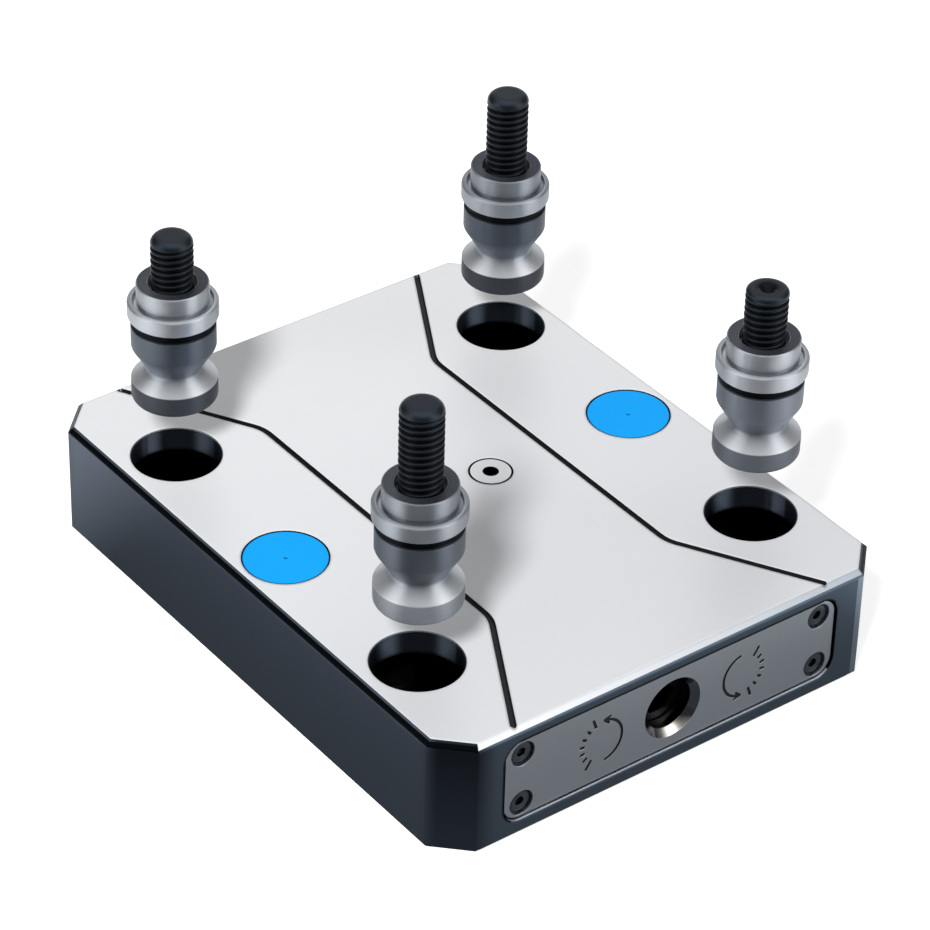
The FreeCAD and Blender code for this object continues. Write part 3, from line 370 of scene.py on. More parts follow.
# Spindle, bearings and drive hub
# Turned, milled and hardened parts of the drive: one shaft with a right-hand and a left-hand
# thread, a fork and a rear block that hold it, and a black hub with its pin, seal and bronze bush.


def rings_group():
    """Fine rings left by the lathe around an axis along the given place's Z."""
    tree, given, result = open_group(
        "Lathe rings",
        [("Place", "Vector", None), ("Spacing", "Float", 0.0002), ("Strength", "Float", 0.5)],
        [("Tone", "Float"), ("Height", "Float")],
    )
    x, y, z = axes(tree, given["Place"])
    along = join(tree, off_axis(tree, x, y), z)
    ring = noise(tree, along, work(tree, "DIVIDE", 1.0, given["Spacing"]))
    broad = noise(tree, given["Place"], 120.0)
    tree.links.new(mottled(tree, ring, given["Strength"], broad, 0.3), result["Tone"])
    tree.links.new(ring, result["Height"])
    return tree


RINGS = rings_group()


def lathe_place(tree, coords, centre, turn=(0.0, 0.0, 0.0)):
    """Object coordinates moved to a part's own axis, with that axis along Z."""
    inputs = {"Vector": coords["Object"], "Location": [-c for c in centre]}
    moved = fit(tree, "ShaderNodeMapping", inputs).outputs[0]
    return fit(tree, "ShaderNodeMapping", {"Vector": moved, "Rotation": turn}).outputs[0]


def turned_finish(name, dark, light, metallic, rough, centre, turn):
    """A lathe-turned surface between two shades."""
    material, tree, shader = new_finish(name, Metallic=metallic)
    coords = tree.nodes.new("ShaderNodeTexCoord").outputs
    rings = use_group(tree, RINGS, Place=lathe_place(tree, coords, centre, turn))
    edges = use_group(tree, BROKEN_EDGES, Width=0.0003)
    colour = blend(tree, rings["Tone"], tint(dark), tint(light))
    roughness = spread(tree, rings["Tone"], 0.2, 0.8, rough - 0.06, rough + 0.06)
    normal = bumped(tree, 0.08, rings["Height"], edges["Normal"])
    wire(tree, shader, Base_Color=colour, Roughness=roughness, Normal=normal)
    return material


def milled_finish(name, dark, light, metallic, rough, stretch=(1200.0, 90.0, 90.0), wear=0.5):
    """A milled or ground block between two shades; wear brightens its edges."""
    material, tree, shader = new_finish(name, Metallic=metallic)
    coords = tree.nodes.new("ShaderNodeTexCoord").outputs
    grain = use_group(tree, GRAIN, Place=coords["Object"], Stretch=stretch, Scratches=0.8)
    edges = use_group(tree, BROKEN_EDGES, Width=0.0003)
    colour = blend(tree, grain["Tone"], tint(dark), tint(light))
    colour = blend(tree, times(tree, edges["Wear"], wear), colour, tint("d8dadd"))
    roughness = spread(tree, grain["Tone"], 0.2, 0.8, rough - 0.06, rough + 0.06)
    normal = bumped(tree, 0.08, grain["Height"], edges["Normal"])
    wire(tree, shader, Base_Color=colour, Roughness=roughness, Normal=normal)
    return material


QUARTER = math.pi / 2
ALONG_Y = (QUARTER, 0.0, 0.0)
for node, name, dark, light, metallic, rough in (
    ("spindle", "spindle_steel", "8b8e92", "b9bcc0", 0.9, 0.3),
    ("drive_hub", "hub_black_oxide", "101113", "1b1d20", 0.9, 0.34),
    ("front_bushing", "bushing_bronze", "9a6f3c", "c79a5c", 0.9, 0.32),
    ("hub_seal", "seal_rubber_black", "0c0c0d", "17181a", 0.0, 0.6),
):
    dress(node, turned_finish(name, dark, light, metallic, rough, SPINDLE_AXIS, ALONG_Y))
block_steel = milled_finish("block_steel_milled", "7d8085", "a9acb1", 0.9, 0.34)
slide_steel = milled_finish("slide_steel_burnished", "17181b", "26282c", 0.9, 0.36, wear=0.0)
for node in ("thrust_fork", "rear_bearing"):
    dress(node, block_steel)
for node in ("front_slide", "rear_slide"):
    dress(node, slide_steel)


# Nuts, jaws and the screws inside
# Each slide carries a bronze nut that runs on the spindle, and two hardened jaws whose noses reach
# over the bulbs of the pull studs and pull them down. Black oxide cap screws hold the jaws.


nut_bronze = milled_finish("nut_bronze", "a07a45", "cfa468", 0.9, 0.34, (90.0, 1200.0, 90.0))
upright, even = (90.0, 90.0, 1400.0), (500.0, 500.0, 500.0)
jaw_steel = milled_finish("jaw_steel_hardened", "1b1c1f", "2b2d31", 0.9, 0.3, upright, 0.0)
screw_black = milled_finish("screw_black_oxide", "17191c", "2a2d31", 0.4, 0.36, even)
for row in ("front", "rear"):
    dress(row + "_nut", nut_bronze)
    dress(row + "_jaw_screws", screw_black)
    for side in ("left", "right"):
        dress(f"{row}_{side}_jaw", jaw_steel)
for node in ("drive_pin", "fork_screws", "rear_bearing_screws"):
    dress(node, screw_black)


# Bottom cover
# A flat plate, ground and sunk into the underside, that closes the channels. Twelve countersunk
# screws hold it.


brushed = (40.0, 1800.0, 40.0)
cover_steel = milled_finish("cover_steel_brushed", "8c9096", "a8acb2", 0.8, 0.36, brushed)
dress("bottom_cover", cover_steel)
dress("cover_screws", screw_black)


# Front cover
# A brushed steel plate set in the front face, with the bevelled hole for the key. The two arrows
# that show which way to turn, and the ticks beside them, are engraved and filled black.


FACE_Y = -0.0795
ENGRAVED_DEPTH = 0.0003
ARROW_WIDTH, ARROW_RADIUS = 0.00075, 0.0058
ARROW_X, ARROW_REACH = 0.021, 0.012
TICKS_FROM, TICKS_TO = 0.0048, 0.0076
KEY_BEVEL_REACH = 0.00795
COVER_TOP, COVER_LEFT = 0.02562, -0.04707


def ribbon(points, width):
    """The outline of a stroke of one width along points, as corners on both sides."""
    left, right = [], []
    for i, point in enumerate(points):
        before, after = points[max(i - 1, 0)], points[min(i + 1, len(points) - 1)]
        along = (after - before).normalized()
        across = Vector((-along.y, along.x)) * width / 2
        left.append(point + across)
        right.append(point - across)
    return left + right[::-1]


def arc(centre, radius, start, end, steps=28):
    """Points on an arc, in degrees, on the front face (x to the right, z up)."""
    turns = [math.radians(start + (end - start) * i / steps) for i in range(steps + 1)]
    return [centre + Vector((math.cos(t), math.sin(t))) * radius for t in turns]


def arrow(centre, radius, start, end):
    """An arc with a head of two short strokes at its end."""
    points = arc(centre, radius, start, end)
    tip, heading = points[-1], (points[-1] - points[-3]).normalized()
    strokes = [ribbon(points, ARROW_WIDTH)]
    for lean in (150, -150):
        barb = Matrix.Rotation(math.radians(lean), 2) @ heading * 0.0019
        strokes.append(ribbon([tip + heading * 0.0003, tip + barb], ARROW_WIDTH * 0.9))
    return strokes


def ticks(centre, inner, outer, first, last, count):
    """A short scale of strokes beside an arrow, a long one at each end."""
    strokes = []
    for i in range(count):
        turn = math.radians(first + (last - first) * i / (count - 1))
        out = Vector((math.cos(turn), math.sin(turn)))
        reach = outer if i in (0, count - 1) else (inner + outer) / 2
        strokes.append(ribbon([centre + out * inner, centre + out * reach], ARROW_WIDTH))
    return strokes


def engraving_cutter(strokes):
    """Each stroke as a shallow block through the front face."""
    mesh = bmesh.new()
    for outline in strokes:
        near = [mesh.verts.new((p.x, FACE_Y - 0.001, p.y)) for p in outline]
        deep = [mesh.verts.new((p.x, FACE_Y + ENGRAVED_DEPTH, p.y)) for p in outline]
        mesh.faces.new(near)
        mesh.faces.new(deep[::-1])
        for i in range(len(outline)):
            j = (i + 1) % len(outline)
            mesh.faces.new((near[j], near[i], deep[i], deep[j]))
    bmesh.ops.recalc_face_normals(mesh, faces=mesh.faces)
    data = bpy.data.meshes.new("engraving")
    mesh.to_mesh(data)
    mesh.free()
    cutter = bpy.data.objects.new("engraving", data)
    bpy.context.scene.collection.objects.link(cutter)
    return cutter


def applied(piece):
    """Turns a piece's modifiers into its mesh."""
    seen = piece.evaluated_get(bpy.context.evaluated_depsgraph_get())
    piece.data = bpy.data.meshes.new_from_object(seen)
    piece.modifiers.clear()
    return piece


def engraved_cover():
    blank = cad["front_cover"].data
    data = bpy.data.meshes.new("front_cover_engraved")
    data.from_pydata([v.co for v in blank.vertices], [], [p.vertices[:] for p in blank.polygons])
    mesh = bmesh.new()
    mesh.from_mesh(data)
    bmesh.ops.remove_doubles(mesh, verts=mesh.verts, dist=1e-6)
    flat = math.radians(0.5)
    bmesh.ops.dissolve_limit(mesh, angle_limit=flat, verts=mesh.verts, edges=mesh.edges)
    mesh.to_mesh(data)
    mesh.free()
    cover = bpy.data.objects.new("front_cover_engraved", data)
    bpy.context.scene.collection.objects.link(cover)
    left, right = Vector((-0.0203, 0.0150)), Vector((0.0206, 0.0153))
    strokes = arrow(left, ARROW_RADIUS, -80, 83) + arrow(right, ARROW_RADIUS, 100, 263)
    strokes += ticks(left, TICKS_FROM, TICKS_TO, 110, 236, 7)
    strokes += ticks(right, TICKS_FROM, TICKS_TO, -70, 56, 7)
    for stroke in strokes:
        cutter = engraving_cutter([stroke])
        cut = cover.modifiers.new("engrave", "BOOLEAN")
        cut.operation, cut.solver, cut.object = "DIFFERENCE", "EXACT", cutter
        applied(cover)
        bpy.data.objects.remove(cutter)
    cover.data.shade_smooth()
    cover.data.set_sharp_from_angle(angle=math.radians(28))
    return cover


def cover_finish():
    """Brushed along its length; what is engraved below the face is filled black. The key's bevel is
    painted dark as shade with a painted highlight at its lower right, and a painted shadow runs
    along the top and left edges.
    """
    material, tree, shader = new_finish("front_cover_steel_brushed")
    coords = tree.nodes.new("ShaderNodeTexCoord").outputs
    x, y, z = axes(tree, coords["Object"])
    off_arrow = work(tree, "ABSOLUTE", work(tree, "SUBTRACT", work(tree, "ABSOLUTE", x), ARROW_X))
    filled = within(tree, y, FACE_Y + 0.00002, FACE_Y + 0.0005)
    filled = times(tree, filled, below(tree, off_arrow, ARROW_REACH))
    from_key = off_axis(tree, x, work(tree, "SUBTRACT", z, SPINDLE_AXIS[2]))
    key_bevel = below(tree, from_key, KEY_BEVEL_REACH)
    low_right_painted_highlight = times(tree, spread(tree, z, 0.0102, 0.0086), spread(tree, x, -0.0040, -0.0005))
    rim = work(tree, "MAXIMUM", above(tree, z, COVER_TOP), below(tree, x, COVER_LEFT))
    stretch = (60.0, 60.0, 2400.0)
    grain = use_group(tree, GRAIN, Place=coords["Object"], Stretch=stretch, Scratches=0.4)
    edges = use_group(tree, BROKEN_EDGES, Width=0.00025)
    colour = layered(
        tree,
        blend(tree, grain["Tone"], tint("a8b0ba"), tint("b8c0c9")),
        (times(tree, edges["Wear"], 0.7), tint("d4d7db")),
        # the key's polished bevel painted dark as shade, with a painted highlight at its lower
        # right
        (key_bevel, blend(tree, low_right_painted_highlight, tint("54585f"), tint("e6e0d8"))),
        # painted shadow along the cover's top and left edges
        (rim, tint("1a1e24")),
        (filled, tint("0c0d0f")),
    )
    rough = spread(tree, key_bevel, 0.0, 1.0, 0.38, 0.16)
    rough = work(tree, "ADD", rough, times(tree, filled, 0.2))
    metallic = spread(tree, filled, 0.0, 1.0, 1.0, 0.0)
    normal = bumped(tree, 0.04, grain["Height"], edges["Normal"])
    wire(tree, shader, Base_Color=colour, Roughness=rough, Metallic=metallic, Normal=normal)
    return material


cover = engraved_cover()
cover.data.materials.clear()
cover.data.materials.append(cover_finish())
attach(cover, "base")
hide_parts("front_cover")


# Front cover screws
# Four small black cap screws with hex sockets, sunk in the cover's counterbores. Each is turned to
# its own angle, as tightened screws are.


def turned(name, outline, segments=96):
    """A closed turned shape: rows of (radius, height) in metres, from the axis at one end round to
    the axis at the other. A third entry, "hex", makes the row a hexagon of that inner radius."""
    mesh = bmesh.new()
    rows = []
    for radius, height, *form in outline:
        if radius < 1e-7:
            rows.append([mesh.verts.new((0, 0, height))])
            continue
        row = []
        for i in range(segments):
            turn = math.tau * i / segments
            reach = radius
            if form:
                reach = radius / math.cos((turn + math.pi / 6) % (math.pi / 3) - math.pi / 6)
            row.append(mesh.verts.new((reach * math.cos(turn), reach * math.sin(turn), height)))
        rows.append(row)
    for lower, upper in zip(rows, rows[1:]):
        for i in range(segments):
            j = (i + 1) % segments
            corners = [lower[i % len(lower)], lower[j % len(lower)]]
            corners += [upper[j % len(upper)], upper[i % len(upper)]]
            mesh.faces.new(list(dict.fromkeys(corners)))
    bmesh.ops.recalc_face_normals(mesh, faces=mesh.faces)
    data = bpy.data.meshes.new(name)
    mesh.to_mesh(data)
    mesh.free()
    data.shade_smooth()
    data.set_sharp_from_angle(angle=math.radians(30))
    piece = bpy.data.objects.new(name, data)
    bpy.context.scene.collection.objects.link(piece)
    return piece


def cap_screw(name, head, height, shank, length, key, socket, edge):
    """A cap screw with its head's underside at height 0, head up."""
    return turned(
        name,
        [
            (0, -length),
            (shank - edge, -length),
            (shank, -length + edge),
            (shank, 0),
            (head - edge / 2, 0),
            (head, edge / 2),
            (head, height - edge),
            (head - edge * 0.3, height - edge * 0.3),
            (head - edge, height),
            (key + edge * 0.8, height),
            (key, height - edge * 0.8, "hex"),
            (key, height - socket, "hex"),
            (0, height - socket - key * 0.5),
        ],
        segments=72,
    )


def spots_tree():
    """Puts one screw on each point, facing one way and each turned at random about its own axis."""
    tree = bpy.data.node_groups.new("Screws on their spots", "GeometryNodeTree")
    for label, kind in (
        ("Geometry", "Geometry"),
        ("Screw", "Object"),
        ("Facing", "Vector"),
        ("Seed", "Int"),
        ("Finish", "Material"),
    ):
        tree.interface.new_socket(label, in_out="INPUT", socket_type="NodeSocket" + kind)
    tree.interface.new_socket("Geometry", in_out="OUTPUT", socket_type="NodeSocketGeometry")
    given = tree.nodes.new("NodeGroupInput").outputs
    screw = fit(tree, "GeometryNodeObjectInfo", {"Object": given["Screw"]}).outputs["Geometry"]
    facing = fit(tree, "FunctionNodeEulerToRotation", {0: given["Facing"]}).outputs[0]
    inputs = {"Points": given["Geometry"], "Instance": screw, "Rotation": facing}
    placed = fit(tree, "GeometryNodeInstanceOnPoints", inputs)
    chance = fit(tree, "FunctionNodeRandomValue", {"Seed": given["Seed"]}, data_type="FLOAT")
    chance.inputs[3].default_value = math.tau
    spin = join(tree, 0.0, 0.0, chance.outputs[1])
    spin = fit(tree, "FunctionNodeEulerToRotation", {0: spin}).outputs[0]
    inputs = {"Instances": placed.outputs[0], "Rotation": spin}
    made = fit(tree, "GeometryNodeRotateInstances", inputs).outputs[0]
    made = fit(tree, "GeometryNodeRealizeInstances", {"Geometry": made}).outputs[0]
    finished = {"Geometry": made, "Material": given["Finish"]}
    made = fit(tree, "GeometryNodeSetMaterial", finished).outputs[0]
    fit(tree, "NodeGroupOutput", {"Geometry": made})
    return tree


def grown(name, tree, data, inputs):
    """A plain mesh piece made by a node tree from its named inputs."""
    piece = bpy.data.objects.new(name, data)
    bpy.context.scene.collection.objects.link(piece)
    maker = piece.modifiers.new("maker", "NODES")
    maker.node_group = tree
    for item in tree.interface.items_tree:
        if item.in_out == "INPUT" and item.name in inputs:
            maker[item.identifier] = inputs[item.name]
    return applied(piece)


def points_mesh(name, points):
    data = bpy.data.meshes.new(name)
    data.from_pydata(points, [], [])
    return data


SCREW_X, SCREW_Y, SCREW_Z = 0.0424, -0.0769, 0.0069
KEY_ROOM = 0.0012


def cover_screw_finish():
    """Black oxide heads, with painted shade in their sockets."""
    material, tree, shader = new_finish("cover_screw_black_oxide", Metallic=0.6)
    coords = tree.nodes.new("ShaderNodeTexCoord").outputs
    x, y, z = axes(tree, coords["Object"])
    from_axis = work(tree, "SUBTRACT", z, SPINDLE_AXIS[2])
    x = work(tree, "SUBTRACT", work(tree, "ABSOLUTE", x), SCREW_X)
    z = work(tree, "SUBTRACT", work(tree, "ABSOLUTE", from_axis), SCREW_Z)
    rings = use_group(tree, RINGS, Place=join(tree, x, z, y))
    edges = use_group(tree, BROKEN_EDGES, Width=0.0003)
    socket = times(tree, below(tree, off_axis(tree, x, z), KEY_ROOM), above(tree, y, -0.0788))
    colour = blend(tree, rings["Tone"], tint("31363d"), tint("4a5159"))
    # painted shade: the hex sockets near black
    colour = blend(tree, socket, colour, tint("030304"))
    roughness = spread(tree, rings["Tone"], 0.2, 0.8, 0.26, 0.38)
    normal = bumped(tree, 0.08, rings["Height"], edges["Normal"])
    wire(tree, shader, Base_Color=colour, Roughness=roughness, Normal=normal)
    return material


cap = cap_screw(
    "cap_screw",
    head=0.00275,
    height=0.0020,
    shank=0.0015,
    length=0.008,
    key=0.0010,
    socket=0.0010,
    edge=0.00030,
)
heights = (SPINDLE_AXIS[2] - SCREW_Z, SPINDLE_AXIS[2] + SCREW_Z)
spots = [(x, SCREW_Y, z) for x in (-SCREW_X, SCREW_X) for z in heights]
sizes = {"Screw": cap, "Facing": ALONG_Y, "Seed": 4, "Finish": cover_screw_finish()}
cover_screws = grown("front_cover_cap_screws", spots_tree(), points_mesh("spots", spots), sizes)
bpy.data.objects.remove(cap)
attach(cover_screws, "base")
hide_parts("front_cover_screws")


# Plugs
# Blue plastic caps, moulded with a small dimple at the gate and pressed into the counterbores over
# the two mounting bolts.


PLUG_X, PLUG_RIM = 0.05, 0.0097


def plug_finish():
    """Clear blue, with painted shade as a dark line round the rim and in the dimple in the middle.
    """
    material, tree, shader = new_finish("plug_plastic_blue", Specular_IOR_Level=0.15)
    coords = tree.nodes.new("ShaderNodeTexCoord").outputs
    x, y, z = axes(tree, coords["Object"])
    x = work(tree, "SUBTRACT", work(tree, "ABSOLUTE", x), PLUG_X)
    radius = off_axis(tree, x, y)
    rings = use_group(tree, RINGS, Place=join(tree, x, y, z), Spacing=0.0005, Strength=0.3)
    fine = noise(tree, coords["Object"], 2600.0)
    colour = layered(
        tree,
        blend(tree, rings["Tone"], tint("0b9df5"), tint("16adff")),
        # painted shade: a dark line round the rim, in the gap to the counterbore
        (spread(tree, radius, PLUG_RIM, PLUG_RIM + 0.0002), tint("0a3a66")),
        # painted shade in the dimple
        (spread(tree, radius, 0.0006, 0.0002), tint("0b4f86")),
    )
    roughness = spread(tree, fine, 0.3, 0.7, 0.46, 0.56)
    wire(tree, shader, Base_Color=colour, Roughness=roughness, Normal=bumped(tree, 0.06, fine))
    return material


blue = plug_finish()
dress("left_plug", blue)
dress("right_plug", blue)


# Lubrication nipple
# A flush funnel nipple of bright turned steel, pressed into a seat that shows as a thin dark ring
# of painted shade.


FUNNEL_REACH, NIPPLE_RIM = 0.00195, 0.00485


def nipple_finish():
    """Bright on the flat, with painted shade in the funnel and on the rim."""
    material, tree, shader = new_finish("nipple_steel_turned")
    place = lathe_place(tree, tree.nodes.new("ShaderNodeTexCoord").outputs, NIPPLE_TOP)
    x, y, z = axes(tree, place)
    radius = off_axis(tree, x, y)
    rings = use_group(tree, RINGS, Place=place, Strength=0.4)
    # painted shade in the funnel and on the rim
    dark = work(tree, "MAXIMUM", below(tree, radius, FUNNEL_REACH), above(tree, radius, NIPPLE_RIM))
    colour = blend(tree, rings["Tone"], tint("e8e9ec"), tint("f4f5f7"))
    colour = blend(tree, dark, colour, tint("020203"))
    roughness = spread(tree, rings["Tone"], 0.2, 0.8, 0.34, 0.42)
    metallic = spread(tree, dark, 0.0, 1.0, 0.4, 1.0)
    normal = bumped(tree, 0.05, rings["Height"])
    wire(tree, shader, Base_Color=colour, Roughness=roughness, Metallic=metallic, Normal=normal)
    return material


dress("lube_nipple", nipple_finish())


# Pull studs
# Turned from alloy steel and hardened: a bulb with a ground cone that the jaws pull on, a shank, a
# ground ring that seats in the bore and a ground spigot for the fixture above. The bright cone, the
# dark shank and the other tones by height are painted reflection and shade on the one steel, and
# each stud has lit and shaded tones of its own.


MM = 0.001
STUD_HEIGHT = 31.4
COLLAR_FOOT, COLLAR_TOP, COLLAR_RADIUS, COLLAR_EDGE = 22.5, 26.6, 10.65, 0.55
EDGE_STEPS = 6


def stud_outline():
    """Rows of radius and height in mm, from the hex socket's bottom round to the screw's bore."""
    rows = [
        (0.0, 6.9),
        (4.0, 6.0, "hex"),
        (4.0, 0.5, "hex"),
        (5.0, 0.0),
        (9.25, 0.0),
        (9.52, 0.08),
        (9.75, 0.25),
        (10.0, 0.62),
        (10.1, 0.85),
        (10.15, 1.15),
        (10.15, 5.25),
        (10.08, 5.4),
        (6.85, 7.66),
        (6.66, 7.9),
        (6.56, 8.15),
        (6.52, 8.45),
        (6.55, 8.7),
        (6.68, 9.0),
        (9.65, 13.9),
        (9.85, 14.3),
        (9.95, 14.65),
        (9.95, 20.1),
        (9.8, 20.3),
        (9.4, 20.3),
        (9.4, COLLAR_FOOT),
    ]
    inner = COLLAR_RADIUS - COLLAR_EDGE
    quarters = [QUARTER * i / EDGE_STEPS for i in range(EDGE_STEPS + 1)]
    for turn in quarters:
        height = COLLAR_FOOT + COLLAR_EDGE - COLLAR_EDGE * math.cos(turn)
        rows.append((inner + COLLAR_EDGE * math.sin(turn), height))
    for turn in quarters:
        height = COLLAR_TOP - COLLAR_EDGE + COLLAR_EDGE * math.sin(turn)
        rows.append((inner + COLLAR_EDGE * math.cos(turn), height))
    rows += [
        (9.5, COLLAR_TOP),
        (9.4, 26.5),
        (9.4, 25.5),
        (8.2, 25.5),
        (8.2, 26.9),
        (8.5, 27.0),
        (8.5, 31.05),
        (8.42, 31.25),
        (8.2, STUD_HEIGHT),
        (5.95, STUD_HEIGHT),
        (5.8, 31.25),
        (5.8, 29.4),
        (4.75, 29.4),
        (4.75, 8.2),
        (0.0, 8.2),
    ]
    return [(radius * MM, height * MM, *form) for radius, height, *form in rows]


def stud_finish(centre, bulb, shank, collar, spigot):
    """Zones by height above the stud's underside, painted reflection and shade on one steel: dark
    bulb foot, bright cone, dark shank, a dark groove under the collar, satin collar and spigot,
    dark end face."""
    material, tree, shader = new_finish("pull_stud_steel", Anisotropic=0.9)
    coords = tree.nodes.new("ShaderNodeTexCoord").outputs
    place = lathe_place(tree, coords, centre)
    x, y, z = axes(tree, place)
    nx, ny, nz = axes(tree, coords["Normal"])
    rings = use_group(tree, RINGS, Place=place, Spacing=0.00022, Strength=0.4)
    zones = fit(tree, "ShaderNodeValToRGB", {"Fac": spread(tree, z, 0.0, STUD_HEIGHT * MM)})
    ramp = zones.color_ramp
    # painted reflection and shade by height: bright cone fading to a dark neck, dark shank, dark
    # groove
    stops = [
        (0.0, bulb),
        (5.2, bulb),
        (5.4, "e8ebef"),
        (7.2, "d6dae0"),
        (8.8, "8d949e"),
        (14.0, shank),
        (20.2, shank),
        (20.4, "1b1d21"),
        (22.4, "1b1d21"),
        (22.6, collar),
        (26.6, collar),
        (26.8, spigot),
        (STUD_HEIGHT, spigot),
    ]
    while len(ramp.elements) < len(stops):
        ramp.elements.new(0.5)
    for element, (height, code) in zip(ramp.elements, stops):
        element.position = height / STUD_HEIGHT
        element.color = tint(code)
    shade = blend(tree, rings["Tone"], tint("d8d8d8"), tint("ffffff"))
    colour = blend(tree, 1.0, zones.outputs[0], shade, "MULTIPLY")
    # painted shade: the spigot's end face darker
    end_face_painted_shade = times(tree, above(tree, z, 0.0293), above(tree, nz, 0.9))
    edges = use_group(tree, BROKEN_EDGES, Width=0.0003)
    wire(
        tree,
        shader,
        Base_Color=blend(tree, end_face_painted_shade, colour, tint("50535b")),
        Roughness=spread(tree, rings["Tone"], 0.2, 0.8, 0.40, 0.50),
        Metallic=spread(tree, z, 0.0052, 0.0054, 0.7, 1.0),
        Normal=bumped(tree, 0.06, rings["Height"], edges["Normal"]),
        Tangent=join(tree, 0.02, 0.01, 1.0),
    )
    return material


# for each stud: how high its foot hovers over the plate and its screw's tip stands over its foot,
# in mm, and the tones of bulb, shank, collar and spigot, which differ from stud to stud as painted
# light and shade
STUDS = {
    "front_left": (17.2, 52.0, "91969e", "727983", "b4bac2", "a2a8b0"),
    "front_right": (18.2, 44.2, "6a6f78", "8a919b", "cdd2d9", "c2c7ce"),
    "rear_left": (17.25, 43.8, "464a52", "67707b", "cdd2d9", "c2c7ce"),
    "rear_right": (15.1, 51.2, "3f434b", "5c646e", "b4bac2", "a2a8b0"),
}


def stud_foot(spot, hover):
    """The middle of a stud's underside, where it hovers over its bore."""
    x = -HALF_PITCH if spot.endswith("left") else HALF_PITCH
    y = -HALF_PITCH if spot.startswith("front") else HALF_PITCH
    return Vector((x, y, PLATE_TOP + hover * MM))


for spot, (hover, reach, *tones) in STUDS.items():
    foot = stud_foot(spot, hover)
    stud = turned(spot + "_pull_stud", stud_outline(), segments=144)
    stud.data.transform(Matrix.Translation(foot))
    stud.data.materials.append(stud_finish(foot, *tones))
    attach(stud, "stud_" + spot)
    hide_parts(spot + "_stud")


# Stud screws
# Black oxide set screws with a rolled thread and a domed tip, one of them with a dimple in it,
# screwed into the studs; two stand long and two short.


TIP_ROOM = 0.0024


def thread_tree():
    """A sheared grid wrapped round an axis so that its rows follow the helix of the thread."""
    tree = bpy.data.node_groups.new("Threaded screw", "GeometryNodeTree")
    for label, kind, start in (
        ("Geometry", "Geometry", None),
        ("Foot", "Vector", None),
        ("Length", "Float", 0.04),
        ("Radius", "Float", 0.005),
        ("Pitch", "Float", 0.0015),
        ("Thread Depth", "Float", 0.0008),
        ("Tip Rounding", "Float", 0.0026),
        ("Dimple Radius", "Float", 0.0022),
        ("Dimple Depth", "Float", 0.0),
        ("Turns", "Int", 30),
        ("Finish", "Material", None),
    ):
        socket = tree.interface.new_socket(label, in_out="INPUT", socket_type="NodeSocket" + kind)
        if start is not None:
            socket.default_value = start
    tree.interface.new_socket("Geometry", in_out="OUTPUT", socket_type="NodeSocketGeometry")
    given = tree.nodes.new("NodeGroupInput").outputs
    rows = work(tree, "ADD", times(tree, given["Turns"], 12.0), 1.0)
    sizes = {"Size X": 1.0, "Size Y": 1.0, "Vertices X": 73, "Vertices Y": rows}
    grid = fit(tree, "GeometryNodeMeshGrid", sizes).outputs["Mesh"]
    at = axes(tree, tree.nodes.new("GeometryNodeInputPosition").outputs[0])
    round_share = work(tree, "ADD", at[0], 0.5)
    up_share = work(tree, "ADD", at[1], 0.5)

    # height along the screw, with a turn of room at each end that closes the ends
    pitch, length = given["Pitch"], given["Length"]
    raw = times(tree, up_share, given["Turns"], pitch)
    raw = work(tree, "ADD", raw, times(tree, work(tree, "SUBTRACT", round_share, 1.0), pitch))
    raw = work(tree, "SUBTRACT", raw, pitch)
    height = work(tree, "MINIMUM", work(tree, "MAXIMUM", raw, 0.0), length)

    # the thread's form, and its run-out under the tip
    phase = work(tree, "SUBTRACT", work(tree, "DIVIDE", height, pitch), round_share)
    phase = work(tree, "FRACT", phase)
    crest = work(tree, "ABSOLUTE", work(tree, "SUBTRACT", times(tree, phase, 2.0), 1.0))
    crest = smooth(tree, crest, 0.12, 0.88)
    rounding = given["Tip Rounding"]
    shoulder = work(tree, "SUBTRACT", length, rounding)
    run_out = work(tree, "SUBTRACT", shoulder, 0.0003), work(tree, "ADD", shoulder, 0.0004)
    cut = spread(tree, height, *run_out, 1.0, 0.0)
    depth = times(tree, rest_of(tree, crest), given["Thread Depth"])
    radius = work(tree, "SUBTRACT", given["Radius"], times(tree, depth, cut))

    # the domed tip with its dimple, and both ends drawn in to the axis
    past = work(tree, "MAXIMUM", work(tree, "SUBTRACT", height, shoulder), 0.0)
    drop = work(tree, "SUBTRACT", times(tree, rounding, rounding), times(tree, past, past))
    drop = work(tree, "SUBTRACT", rounding, work(tree, "SQRT", drop))
    radius = work(tree, "MINIMUM", radius, work(tree, "SUBTRACT", given["Radius"], drop))
    beyond = spread(tree, work(tree, "SUBTRACT", raw, length), 0.0, TIP_ROOM, 1.0, 0.0)
    closing = spread(tree, work(tree, "ADD", raw, pitch), 0.0, pitch)
    radius = times(tree, radius, beyond, closing)
    dimple = smooth(tree, radius, given["Dimple Radius"], 0.0)
    sunk = times(tree, dimple, below(tree, beyond, 0.9999), given["Dimple Depth"])

    turn = times(tree, round_share, math.tau)
    point = join(
        tree,
        times(tree, radius, work(tree, "COSINE", turn)),
        times(tree, radius, work(tree, "SINE", turn)),
        work(tree, "SUBTRACT", height, sunk),
    )
    point = move(tree, "ADD", point, given["Foot"])
    made = fit(tree, "GeometryNodeSetPosition", {"Geometry": grid, "Position": point}).outputs[0]
    made = fit(tree, "GeometryNodeMergeByDistance", {"Geometry": made, "Distance": 2e-6}).outputs[0]
    made = fit(tree, "GeometryNodeSetShadeSmooth", {"Geometry": made}).outputs[0]
    made = fit(tree, "GeometryNodeRealizeInstances", {"Geometry": made}).outputs[0]
    finished = {"Geometry": made, "Material": given["Finish"]}
    made = fit(tree, "GeometryNodeSetMaterial", finished).outputs[0]
    fit(tree, "NodeGroupOutput", {"Geometry": made})
    return tree


